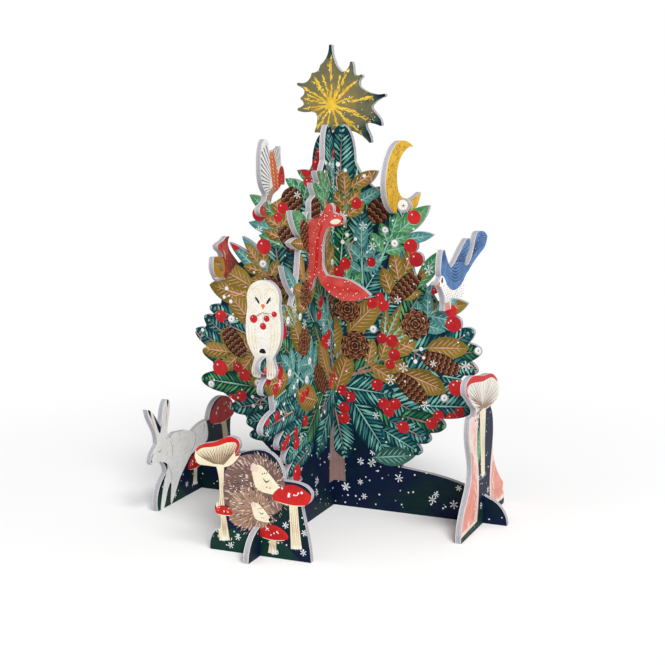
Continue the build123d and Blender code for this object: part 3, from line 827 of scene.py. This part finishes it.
def perched_bird_art(art):
    at, place = art.at, art.place
    art.add("rust", art.outline)
    for i in range(26):
        a, b = art.rng.uniform(-0.3, 0.5), art.rng.uniform(0.0, 0.7)
        art.kite("orange", at(a, b), at(a + 0.07, b - 0.05), 0.3)
    art.patch("mustard", (-0.80, 0.52), (-0.44, 0.48), (-0.20, 0.34), (-0.16, 0.04), (-0.40, -0.12),
              (-0.78, 0.02))
    for i in range(11):
        share = i / 10
        art.kite("brown", at(-0.22, 0.30 - 0.18 * share), at(-0.74 + 0.42 * share, 0.40 - 0.46 * share),
                 0.34)
        art.kite("straw", at(-0.24, 0.27 - 0.18 * share), at(-0.72 + 0.42 * share, 0.34 - 0.44 * share),
                 0.28)
    art.patch("coral", (-0.50, 0.70), (-0.28, 0.84), (-0.06, 0.76), (0.04, 0.50), (-0.10, 0.46),
              (-0.26, 0.50), (-0.36, 0.58))
    art.line("cream", place((-0.22, 0.60), (-0.14, 0.50), (-0.12, 0.36)), (0.15, 0.6, 0.15), 3)
    art.disc("ink", at(-0.30, 0.69), 0.42, 10)
    art.patch("orange", (-0.60, 0.69), (-0.46, 0.65), (-0.43, 0.74), (-0.54, 0.76))


def blue_bird_art(art):
    rng, at, place = art.rng, art.at, art.place
    art.add("blue", art.outline)
    art.patch("white", (-0.60, 0.34), (-0.50, 0.40), (-0.36, 0.36), (-0.20, 0.22), (0.08, 0.13),
              (0.40, 0.17), (0.72, 0.30), (0.66, -0.14), (0.0, -0.20), (-0.46, 0.0), (-0.60, 0.20))
    for row in range(9):
        for lane in range(15):
            a = -0.50 + 0.075 * lane + 0.037 * (row % 2) + rng.uniform(-0.012, 0.012)
            b = 0.26 - 0.036 * row
            art.kite("ink" if rng.random() < 0.6 else "mustard", at(a, b), at(a + 0.022, b - 0.020), 0.62)
    art.patch("blue", (-0.52, 0.46), (-0.44, 0.40), (-0.26, 0.37), (-0.06, 0.25), (0.12, 0.18),
              (0.34, 0.20), (0.60, 0.31), (0.92, 0.42), (0.60, 0.64), (0.20, 0.62), (-0.20, 0.60),
              (-0.44, 0.90))
    for row in range(8):
        lift = 0.045 * row
        art.line("blue_dark", place((-0.34 + 0.04 * row, 0.44 + lift), (-0.12, 0.33 + lift),
                 (0.12, 0.25 + lift), (0.36, 0.27 + lift), (0.62, 0.36 + lift)), (0.14, 0.46, 0.14), 4)
    for lane in range(6):
        drop = 0.036 * lane
        art.line("blue_dark", place((0.58, 0.49 - drop), (0.95, 0.60 - 0.4 * drop), (1.28, 0.79 - drop),
                 (1.56, 0.78 - 0.8 * drop)), (0.14, 0.46, 0.14), 4)
        art.line("blue_dark", place((0.02 + 1.2 * drop, 0.52), (0.34 + drop, 0.66 - drop),
                 (0.70 + drop, 0.78 - 2 * drop)), (0.14, 0.44, 0.12), 3)
        art.line("blue_dark", place((-0.47 + 0.9 * drop, 0.54), (-0.45 + 0.6 * drop, 0.72)),
                 (0.14, 0.50, 0.12), 2)
    art.dots("snow", (at(-0.4, 0.4), at(1.6, 0.84)), 34, 0.12, 0.26)
    art.patch("orange", (-0.80, 0.30), (-0.60, 0.35), (-0.54, 0.30), (-0.60, 0.26))
    art.disc("ink", at(-0.45, 0.335), 1.15, 12)
    art.disc("snow", at(-0.462, 0.352), 0.26, 6)
    art.patch("salmon", (-0.36, -0.03), (-0.14, -0.01), (-0.08, -0.20), (-0.38, -0.20))
    art.line("brown", place((-0.30, 0.02), (-0.28, -0.14)), (0.3, 0.4, 0.3), 1)
    art.line("brown", place((-0.12, 0.0), (-0.14, -0.14)), (0.3, 0.4, 0.3), 1)


def owl_art(art):
    rng, at, place = art.rng, art.at, art.place
    art.add("down", art.outline)
    for row in range(20):
        b = 0.86 - 0.021 * row
        for col in range(9):
            a = -0.17 + 0.0425 * col + (0.021 if row % 2 else 0)
            top = at(a + rng.uniform(-0.004, 0.004), b)
            art.kite("straw", top, (top[0], top[1] - 0.75), 0.30)
    for col in range(10):
        a = -0.16 + 0.0355 * col
        if abs(a) > 0.07:
            art.line("straw", place((a, 0.42), (a, 0.28), (a * 0.72, 0.12)), (0.12, 0.34, 0.12), 3)
            art.line("straw", place((a * 0.70, 0.10), (a * 0.72, -0.08)), (0.10, 0.26, 0.10), 2)
    for _ in range(46):
        spot = at(rng.uniform(-0.11, 0.11), rng.uniform(0.16, 0.56))
        art.kite("grey", spot, (spot[0], spot[1] - 0.5), 0.22)
    for side in (-1, 1):
        art.line("straw", place((side * 0.012, 0.70), (side * 0.06, 0.80), (side * 0.14, 0.78),
                 (side * 0.165, 0.66)), (0.12, 0.30, 0.12), 3)
        art.patch("ink", (side * 0.035, 0.655), (side * 0.052, 0.652), (side * 0.088, 0.705),
                  (side * 0.080, 0.716), (side * 0.060, 0.700), steps=3)
        art.kite("grey", at(side * 0.094, 0.70), at(side * 0.074, 0.668), 0.5)
    art.patch("orange", (-0.022, 0.640), (0.022, 0.640), (0.0, 0.592), steps=3)
    art.line("stem", place((-0.10, 0.50), (0.0, 0.56), (0.13, 0.50)), (0.2, 0.3, 0.15), 3)
    for a, b, size in ((-0.105, 0.49, 1.55), (0.04, 0.50, 1.2), (0.125, 0.55, 1.1), (0.0, 0.42, 1.3)):
        art.kite("stem", at(0.0, 0.56), at(a, b), 0.25)
        art.berry(at(a, b), size)
    art.patch("ink", (-0.045, 0.150), (-0.030, 0.185), (0.010, 0.188), (0.030, 0.150), (0.0, 0.142),
              steps=4)
    for side in (-1, 1):
        for toe in (-0.03, 0.0, 0.03):
            art.kite("brown_light", at(side * 0.085 + toe, -0.04), at(side * 0.085 + toe, -0.105), 0.4)


def squirrel_art(art):
    at, place = art.at, art.place
    art.add("coral", art.outline)
    art.line("red", place((0.08, -0.30), (0.13, -0.08), (0.14, 0.16), (0.20, 0.36)), (0.5, 1.5, 0.4))
    for i in range(16):
        share = i / 15
        art.kite("red", at(0.18 + 0.40 * share, -0.27 - 0.05 * share),
                 at(0.30 + 0.40 * share, -0.38 - 0.04 * share), 0.42)
    art.patch("cream", (0.31, 0.37), (0.38, 0.37), (0.42, 0.41), (0.36, 0.425), (0.30, 0.40))
    art.line("ink", place((0.325, 0.455), (0.345, 0.443), (0.365, 0.455)), (0.10, 0.24, 0.10), 3)
    art.disc("ink", at(0.445, 0.425), 0.36, 8)
    art.kite("rust", at(0.30, 0.50), at(0.305, 0.57), 0.7)
    art.dots("snow", (at(-0.14, -0.46), at(0.74, 0.56)), 210, 0.10, 0.24)


def ground_art(art, height, snow):
    """The snowy night ground of a foot."""
    rng = art.rng
    left, right = min(p[0] for p in art.outline), max(p[0] for p in art.outline)
    for _ in range(5):
        x = rng.uniform(left, right)
        art.add("moss", blob([(x - 9, -1), (x - 5, rng.uniform(5, 9)), (x + 4, rng.uniform(4, 8)),
                (x + 10, -1)]))
    art.dots("snow", ((left, 1), (right, height)), snow, 0.16, 0.42)


def toadstool(art, foot, cap, wide, stem):
    """A spotted cap on a pale stem. foot is its lowest point, cap the middle of the cap's rim."""
    (x0, y0), (x1, y1) = foot, cap
    rng = art.rng
    art.line("cream", [(x0, y0), ((x0 + x1) / 2, (y0 + y1) / 2), (x1, y1 + 0.1 * wide)],
             (1.25 * stem, stem, 0.9 * stem))
    for shift in (-0.30, -0.1, 0.12, 0.32):
        art.kite("brown_light", (x0 + shift * stem, y0 + 0.8), (x1 + shift * stem, y1), 0.3)
    for _ in range(14):
        spot = (x0 + rng.gauss(0, 0.45 * stem), y0 + rng.uniform(-0.6, 0.8))
        art.tuft("snow", spot, 0.8, 1.6, 0.42)
    rise = 0.46 * wide
    art.add("red", blob([(x1 - wide / 2, y1 + 0.05 * wide), (x1 - 0.42 * wide, y1 + 0.62 * rise),
            (x1, y1 + rise), (x1 + 0.42 * wide, y1 + 0.62 * rise), (x1 + wide / 2, y1 + 0.05 * wide),
            (x1, y1 - 0.04 * wide)]))
    rim = [(x1 - 0.40 * wide, y1), (x1, y1 - 0.05 * wide), (x1 + 0.40 * wide, y1)]
    art.line("cream", rim, (0.15, 0.35, 0.15), 4)
    for _ in range(9):
        spot = (x1 + rng.uniform(-0.36, 0.36) * wide, y1 + rng.uniform(0.25, 0.8) * rise)
        art.disc("snow", spot, rng.uniform(0.016, 0.036) * wide, 8)


def gilled(art, kind, outline, root, ends):
    """A pale cap seen from below, with gills that fan out from its stem."""
    art.add(kind, outline)
    for i, end in enumerate(ends):
        share = i / (len(ends) - 1)
        start = (root[0] + 4 * (share - 0.5), root[1])
        middle = ((start[0] + end[0]) / 2 + 1.6 * (share - 0.5), (start[1] + end[1]) / 2)
        art.line("brown_light" if i % 2 else "umber", [start, middle, end], (0.16, 0.34, 0.12), 2)


def hare_art(art):
    rng, at, place = art.rng, art.at, art.place
    ground_art(art, 32, 80)
    toadstool(art, (24, 10), (19.5, 25.5), 23, 4.5)
    toadstool(art, (-7, 3), (-6, 10.5), 13, 3.0)
    art.patch("white", (-0.96, 0.44), (-0.90, 0.62), (-1.02, 0.96), (-0.94, 0.99), (-0.80, 0.72),
              (-0.75, 0.80), (-0.68, 1.02), (-0.58, 1.02), (-0.58, 0.80), (-0.62, 0.64), (-0.46, 0.68),
              (-0.25, 0.66), (-0.08, 0.64), (0.06, 0.66), (0.12, 0.54), (0.10, 0.44), (-0.02, 0.40),
              (-0.20, 0.38), (-0.32, 0.30), (-0.44, 0.20), (-0.58, 0.02), (-0.62, 0.03), (-0.60, 0.20),
              (-0.66, 0.16), (-0.74, 0.0), (-0.80, 0.0), (-0.74, 0.22), (-0.66, 0.38), (-0.78, 0.44))
    folds = (
        ((-0.20, 0.62), (-0.12, 0.54), (-0.16, 0.44), (-0.26, 0.38)),
        ((-0.60, 0.60), (-0.56, 0.50), (-0.60, 0.40)), ((0.02, 0.64), (0.05, 0.58), (0.02, 0.52)),
        ((-0.66, 0.40), (-0.60, 0.30), (-0.58, 0.20)),
    )
    for points in folds:
        art.line("grey", place(*points), (0.10, 0.42, 0.10))
    for _ in range(90):
        a, b = rng.uniform(-0.66, 0.06), rng.uniform(0.32, 0.66)
        art.kite("grey" if rng.random() < 0.8 else "straw", at(a, b), at(a - 0.028, b - 0.010), 0.20)
    art.line("ink", place((-0.825, 0.555), (-0.795, 0.540), (-0.765, 0.558)), (0.12, 0.34, 0.12), 4)
    art.disc("ink", at(-0.945, 0.490), 0.65, 10)
    for a, b, c, d in ((-0.97, 0.97, -0.93, 0.88), (-0.63, 1.0, -0.64, 0.92)):
        art.line("ink", place((a, b), (c, d)), (1.6, 1.2, 0.2), 2)
    for a, b, c, d in ((-0.93, 0.90, -0.86, 0.72), (-0.65, 0.92, -0.68, 0.74)):
        art.line("pink", place((a, b), (c, d)), (0.3, 0.9, 0.2), 2)
    for spot in ((-14, 5), (8, 6), (-18, 13), (14, 3), (28, 5), (-24, 3), (3, 16), (12, 14)):
        art.flake(spot, 1.4)


def hedgehog(art, middle, size, ground, face):
    """A sleeping hedgehog seen from the side. face: how far its face is set from the usual place."""
    rng = art.rng
    cx, cy = middle

    def at(a, b):
        return (cx + a * size, cy + b * size)

    def head(a, b):
        return at(a + face[0], b + face[1])

    art.add(ground, blob([at(-1, -0.25), at(-0.86, 0.42), at(-0.35, 0.86), at(0.30, 0.86), at(0.78, 0.42),
            at(0.84, -0.1), at(0.6, -0.6), at(-0.2, -0.72), at(-0.8, -0.6)]))
    for _ in range(int(34 * size)):
        spot = polar((cx, cy), size * 0.92 * math.sqrt(rng.random()), rng.uniform(0, math.tau))
        out = math.atan2(spot[1] - cy - 0.1 * size, spot[0] - cx - 0.35 * size) + rng.uniform(-0.25, 0.25)
        kind = rng.choice(("brown_light", "brown_light", "pink", "brown_deep"))
        art.kite(kind, spot, polar(spot, rng.uniform(1.3, 2.1), out), 0.32)
    art.add("cream", blob([head(0.10, 0.16), head(0.16, 0.34), head(0.34, 0.38), head(0.58, 0.20),
            head(0.92, -0.20), head(0.88, -0.34), head(0.60, -0.36), head(0.24, -0.26)]))
    art.line("ink", [head(0.42, 0.04), head(0.51, -0.05), head(0.61, 0.01)], (0.12, 0.045 * size, 0.12), 4)
    for a, b in ((0.46, 0.18), (0.53, 0.19), (0.40, 0.15), (0.52, -0.19), (0.62, -0.20)):
        art.disc("ink", head(a, b), 0.014 * size + 0.08, 6)
    art.disc("ink", head(0.90, -0.24), 0.075 * size, 10)
    art.add("pink", blob([head(0.06, 0.22), head(0.12, 0.42), head(0.28, 0.34), head(0.24, 0.20)], 4))
    art.dots("snow", (at(-0.8, -0.4), at(0.5, 0.8)), int(1.6 * size), 0.14, 0.30)


def hedgehog_art(art):
    ground_art(art, 28, 80)
    hedgehog(art, (-0.5, 25.5), 14.0, "brown", (-0.20, 0.26))
    hedgehog(art, (-2.5, 16.5), 9.2, "brown_warm", (-0.05, 0.0))
    art.line("cream", [(-13.5, 4), (-15.5, 20), (-15.8, 33)], (4.4, 3.4, 5.2))
    for shift in (-1.2, -0.4, 0.5, 1.2):
        art.kite("brown_light", (-13.6 + shift, 6), (-15.7 + shift, 31), 0.34)
    cap = blob([(-28, 33), (-28, 40), (-20, 46), (-10, 46.5), (-5.5, 42), (-7.4, 36.5), (-12, 32.5),
               (-19, 32.0)])
    gilled(art, "cream", cap, (-15.6, 33.0), [(-25 + 0.72 * i, 36.6 + 0.24 * i) for i in range(26)])
    art.add("red", stroke(art.run((-27, 37.0), (-5.6, 46)), 1.4, 4.4, 1.6, 1))
    toadstool(art, (15.8, 4.5), (14.5, 21.5), 15.5, 3.6)
    toadstool(art, (-13.4, 4), (-14, 14.0), 7.6, 2.0)
    toadstool(art, (6.0, 1.5), (6.5, 7.2), 11.5, 2.8)
    for spot in ((-8, 6), (11.5, 13), (-17, 8), (18.5, 3.5), (-2, 4), (19, 11), (-11, 2.5)):
        art.flake(spot, 1.4)


def mushroom_art(art):
    rng = art.rng
    ground_art(art, 48, 90)
    art.leaf("leaf_green", (-8.5, 26), (-8.0, 41), 5.6, "vein_pale")
    for side in (-1, 1):
        def at(a, b):
            return (side * a, b)

        inner = [at(9, 3), at(7.4, 12), at(8.0, 22), at(10.4, 32), at(10.6, 40), at(8.8, 46),
                 at(10.2, 48.6)]
        art.add("pink", curve(inner, 4, False) + [at(34, 48), at(34, 2)])
        haunch = [at(12, 4), at(9.6, 13), at(11, 22), at(14.5, 30), at(18, 33)]
        art.add("salmon", curve(haunch, 4, False) + [at(34, 30), at(34, 4)])
        for i in range(34):
            z = 4 + 0.85 * i
            x = 9.4 + 0.15 * abs(z - 14) + rng.uniform(0.4, 3.2)
            art.kite("white", at(x, z), at(x + 0.8, z - 1.5), 0.5)
        for i in range(26):
            art.kite("salmon", at(rng.uniform(12, 16), rng.uniform(34, 44)), at(rng.uniform(12, 16),
                     rng.uniform(32, 40)), 0.24)
        art.line("ink", [at(12.4, 45.0), at(13.4, 44.2), at(14.6, 45.0)], (0.15, 0.5, 0.15), 3)
        art.disc("ink", at(10.3, 44.2), 0.7, 8)
    art.line("cream", [(-2.0, 20), (-3.4, 34), (-4.0, 49)], (4.6, 5.8, 8.5))
    for shift in (-1.8, -0.7, 0.6, 1.8):
        art.kite("brown_light", (-2.0 + 0.8 * shift, 21), (-3.8 + shift, 47), 0.4)
    for _ in range(16):
        spot = (-2 + rng.gauss(0, 2.0), 19 + rng.uniform(-0.8, 0.8))
        art.tuft("snow", spot, 1.0, 2.0, 0.5)
    cap = art.run((-40, 45.8), (40, 70))
    root = (-4.0, 47.5)
    gilled(art, "down", cap, root, [along(root, cap[round(i * (len(cap) - 1) / 45)],
           0.92) for i in range(46)])
    art.add("red", stroke(art.run((-26.6, 54.6), (18.2, 70)), 1.6, 5.4, 1.6, 1))
    for spot in ((-20, 5), (-4, 8), (5, 12), (18, 4), (-8, 20), (25, 3.5)):
        art.flake(spot, 1.6)


# From motifs to a flat print mesh, in the scene


def linked(name, data):
    obj = bpy.data.objects.new(name, data)
    bpy.context.scene.collection.objects.link(obj)
    return obj


def face_loop(node, axis, level):
    """The outline of a board's face, in millimetres, from the CAD mesh."""
    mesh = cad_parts[node].data
    across = 0 if axis == 1 else 1
    edges = set()
    for polygon in mesh.polygons:
        corners = [mesh.vertices[i].co for i in polygon.vertices]
        if all(abs(c[axis] / MM - level) < LEVEL_PLAY for c in corners):
            keys = [(round(c[across] / MM, 3), round(c[2] / MM, 3)) for c in corners]
            for a, b in zip(keys, keys[1:] + keys[:1]):
                if (b, a) in edges:
                    edges.remove((b, a))
                elif a != b:
                    edges.add((a, b))
    follow = dict(edges)
    loops = []
    while follow:
        start, point = follow.popitem()
        loop = [start]
        while point != start:
            loop.append(point)
            point = follow.pop(point)
        loops.append(loop)
    return max(loops, key=lambda loop: abs(turning(loop)))


def within(points, polygon):
    """The numbers of those points, sorted by x, that lie in the polygon."""
    shape = np.array(polygon)
    low, high = shape.min(axis=0), shape.max(axis=0)
    first, last = np.searchsorted(points[:, 0], (low[0], high[0]))
    y = points[first:last, 1]
    maybe = first + np.nonzero((y > low[1]) & (y < high[1]))[0]
    return maybe[winds(points[maybe], polygon) != 0]


def hidden(motifs):
    """Marks each motif that one later, convex motif covers whole."""
    corners = np.array([point for motif in motifs for point in motif[1]])
    owner = np.repeat(np.arange(len(motifs)), [len(motif[1]) for motif in motifs])
    need = np.bincount(owner)
    order = np.argsort(corners[:, 0])
    corners, owner = corners[order], owner[order]
    gone = np.zeros(len(motifs), dtype=bool)
    for number, motif in enumerate(motifs):
        shape = np.array(motif[1])
        edge = np.roll(shape, -1, axis=0) - shape
        after = np.roll(edge, -1, axis=0)
        bend = edge[:, 0] * after[:, 1] - edge[:, 1] * after[:, 0]
        if len(shape) < COVER_CORNERS or (bend.min() < -1e-9 and bend.max() > 1e-9):
            continue
        held = owner[within(corners, motif[1])]
        gone |= np.bincount(held[held < number], minlength=len(motifs)) == need
    return gone


def print_mesh(name, axis, level, art, mirror):
    """One flat mesh: the face is cut along every motif's outline, and each bit takes the topmost."""
    outline = art.outline
    ring = np.array(outline)
    lowest, highest = ring.min(axis=0), ring.max(axis=0)
    near = []
    for motif in art.motifs:
        points = np.array(motif[1])
        if (points.max(axis=0) > lowest).all() and (points.min(axis=0) < highest).all():
            if len(points) > LARGE_CORNERS or (winds(points, outline) != 0).any():
                near.append(motif)
    near = [motif for motif, gone in zip(near, hidden(near)) if not gone]
    verts, faces = [], []
    for polygon in [outline] + [motif[1] for motif in near]:
        first = len(verts)
        verts += [Vector(p) for p in (polygon if turning(polygon) > 0 else polygon[::-1])]
        faces.append(list(range(first, len(verts))))
    points, _, pieces, _, _, _ = delaunay_2d_cdt(verts, [], faces, 1, WELD)
    where = np.array([(p.x, p.y) for p in points])
    corners = np.array([list(piece) for piece in pieces])
    centres = where[corners].mean(axis=1)
    board = winds(centres, outline) != 0
    corners, centres = corners[board], centres[board]
    order = np.argsort(centres[:, 0])
    corners, centres = corners[order], centres[order]
    topmost = np.zeros(len(corners), dtype=int)
    for number, motif in enumerate(near):
        topmost[within(centres, motif[1])] = number
    used, packed = np.unique(corners, return_inverse=True)
    packed = packed.reshape(corners.shape)
    if mirror:
        packed = packed[:, ::-1]
    flat = where[used]
    lift = PRINT_LIFT if (axis == 0) != mirror else -PRINT_LIFT
    spots = np.full((len(used), 3), (level + lift) * MM)
    spots[:, 1 - axis] = flat[:, 0] * MM
    spots[:, 2] = flat[:, 1] * MM
    mesh = bpy.data.meshes.new(name)
    mesh.from_pydata(spots.tolist(), [], packed.tolist())
    kinds = list(dict.fromkeys(motif[0] for motif in near))
    for kind in kinds:
        mesh.materials.append(MATERIALS[kind])
    slots = np.array([kinds.index(motif[0]) for motif in near])[topmost]
    mesh.polygons.foreach_set("material_index", slots.astype(np.int32))
    ends = flat[packed.reshape(-1)]
    bake = UV_MARGIN + (1 - 2 * UV_MARGIN) * (ends - lowest) / (highest - lowest).max()
    own = np.repeat(topmost, 3)
    base = ends - np.array([motif[2] for motif in near], dtype=float)[own]
    angle = np.array([motif[3] for motif in near])[own]
    turned = np.stack((base[:, 0] * np.cos(angle) + base[:, 1] * np.sin(angle),
                      base[:, 1] * np.cos(angle) - base[:, 0] * np.sin(angle)), axis=1)
    for title, values in (("OFBake", bake), ("motif", turned)):
        mesh.uv_layers.new(name=title).data.foreach_set("uv", values.astype(np.float32).reshape(-1))
    tone = mesh.attributes.new("tone", "FLOAT", "FACE")
    tone.data.foreach_set("value", np.array([motif[4] for motif in near])[topmost].astype(np.float32))
    mesh.update()
    obj = linked(name, mesh)
    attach(obj, "root")


def board_material(node, axis, middle):
    """Greyboard between two paper faces, as its cut edge shows it."""
    net = Net("board_" + node)
    place = net.place()
    off = net.math("ABSOLUTE", net.math("SUBTRACT", net.split(place)[axis], middle * MM))
    layers = (1.0, 7.0) if axis == 1 else (7.0, 1.0)
    fibre = net.noise(net.stretch(place, *layers), 900.0, 4.0, 0.65)
    core = net.mix(net.step(fibre, 0.3, 0.72), linear(188, 186, 190), linear(156, 154, 160))
    core = net.mix(net.step(off, 0.00003, 0.00014, 0.5, 0.0), core, linear(120, 118, 126))
    rim = net.step(off, 0.00090, 0.00102)
    return net.finish(net.mix(rim, core, linear(226, 225, 227)), 0.8)


ARTS = {
    "star": star_art,
    "moon": moon_art,
    "flying_bird": flying_bird_art,
    "perched_bird": perched_bird_art,
    "blue_bird": blue_bird_art,
    "owl": owl_art,
    "squirrel": squirrel_art,
    "hare_foot": hare_art,
    "hedgehog_foot": hedgehog_art,
    "mushroom_foot": mushroom_art,
}
HALVES = {
    "tree_panel_wide": [(1, RIGHT_EDGE, WIDE_REACH), (-1, LEFT_EDGE, WIDE_REACH)],
    "tree_panel_deep": [(1, DEEP_EDGE, DEEP_REACH), (-1, DEEP_EDGE, DEEP_REACH)],
}
for number, (node, obj) in enumerate(sorted(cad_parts.items())):
    low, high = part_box(node)
    axis = 0 if high[0] - low[0] < high[1] - low[1] else 1
    middle = (low[axis] + high[axis]) / 2 / MM
    obj.data.materials.clear()
    obj.data.materials.append(board_material(node, axis, middle))
    toward = BOARD / 2 if axis == 0 else -BOARD / 2
    for back, level in ((False, middle + toward), (True, middle - toward)):
        outline = face_loop(node, axis, level)
        seed = 100 + 10 * number + back
        art = Art(node, seed, outline)
        if node in HALVES:
            tree_art(art, HALVES[node])
        else:
            ARTS[node](art)
        print_mesh(f"{node}_print_{'back' if back else 'front'}", axis, level, art, back)


# Floor, light and camera


def lamp(name, place, aim, size, power):
    data = bpy.data.lights.new(name, "AREA")
    data.size = size
    data.energy = power
    obj = linked(name, data)
    obj.location = place
    obj.rotation_euler = (Vector(aim) - Vector(place)).to_track_quat("-Z", "Y").to_euler()
    return obj


# A pale floor that fades to plain white away from the tree
FLOOR_HALF = 6.0
FLOOR_DROP = 0.00002
FADE = (0.09, 0.26)
floor_mesh = bpy.data.meshes.new("floor")
corners = [(x * FLOOR_HALF, y * FLOOR_HALF, 0) for x, y in ((-1, -1), (1, -1), (1, 1), (-1, 1))]
floor_mesh.from_pydata(corners, [], [(0, 1, 2, 3)])
floor = linked("floor", floor_mesh)
floor.location.z = -FLOOR_DROP
floor_net = Net("floor_white")
floor_net.fill(floor_net.shader, {
    "Base Color": (0.93, 0.93, 0.93, 1), "Roughness": 0.9, "Specular IOR Level": 0.0,
})
blend = floor_net.add("ShaderNodeMixShader", {
    0: floor_net.step(floor_net.length(floor_net.place()), *FADE),
    1: floor_net.shader.outputs[0],
    2: floor_net.add("ShaderNodeEmission").outputs[0],
})
floor_net.link(blend.outputs[0], floor_net.out.inputs["Surface"])
floor_mesh.materials.append(floor_net.material)

lamp("key", (0.74, -1.0, 0.80), (0, 0, 0.08), 0.5, 9.0)
lamp("high", (0.62, -0.36, 1.30), (0, 0, 0.05), 0.5, 9.0)
lamp("fill", (-0.95, -0.5, 0.55), (0, 0, 0.08), 0.9, 1.2)

world = bpy.data.worlds.new("world")
bpy.context.scene.world = world
world.use_nodes = True
world_tree = world.node_tree
background = world_tree.nodes["Background"]
background.inputs["Color"].default_value = (1, 1, 1, 1)
ray = world_tree.nodes.new("ShaderNodeLightPath")
level = world_tree.nodes.new("ShaderNodeMapRange")
level.inputs["To Min"].default_value = 0.5
level.inputs["To Max"].default_value = 1.0
world_tree.links.new(ray.outputs["Is Camera Ray"], level.inputs[0])
world_tree.links.new(level.outputs[0], background.inputs["Strength"])

# The photo's viewpoint
AZIMUTH, ELEVATION, DISTANCE = math.radians(23.04), math.radians(10.05), 0.560
FOCUS_HEIGHT = 0.0719
SENSOR = 36.0
FOCAL_PIXELS, PHOTO_PIXELS = 1380, 665
flat = math.cos(ELEVATION)
toward = Vector((math.sin(AZIMUTH) * flat, -math.cos(AZIMUTH) * flat, math.sin(ELEVATION)))
camera_data = bpy.data.cameras.new("camera")
camera_data.sensor_width = SENSOR
camera_data.lens = SENSOR * FOCAL_PIXELS / PHOTO_PIXELS
camera = linked("camera", camera_data)
camera.location = Vector((0, 0, FOCUS_HEIGHT)) + toward * DISTANCE
camera.rotation_euler = (-toward).to_track_quat("-Z", "Y").to_euler()
bpy.context.scene.camera = camera
bpy.context.scene.view_settings.view_transform = "Standard"
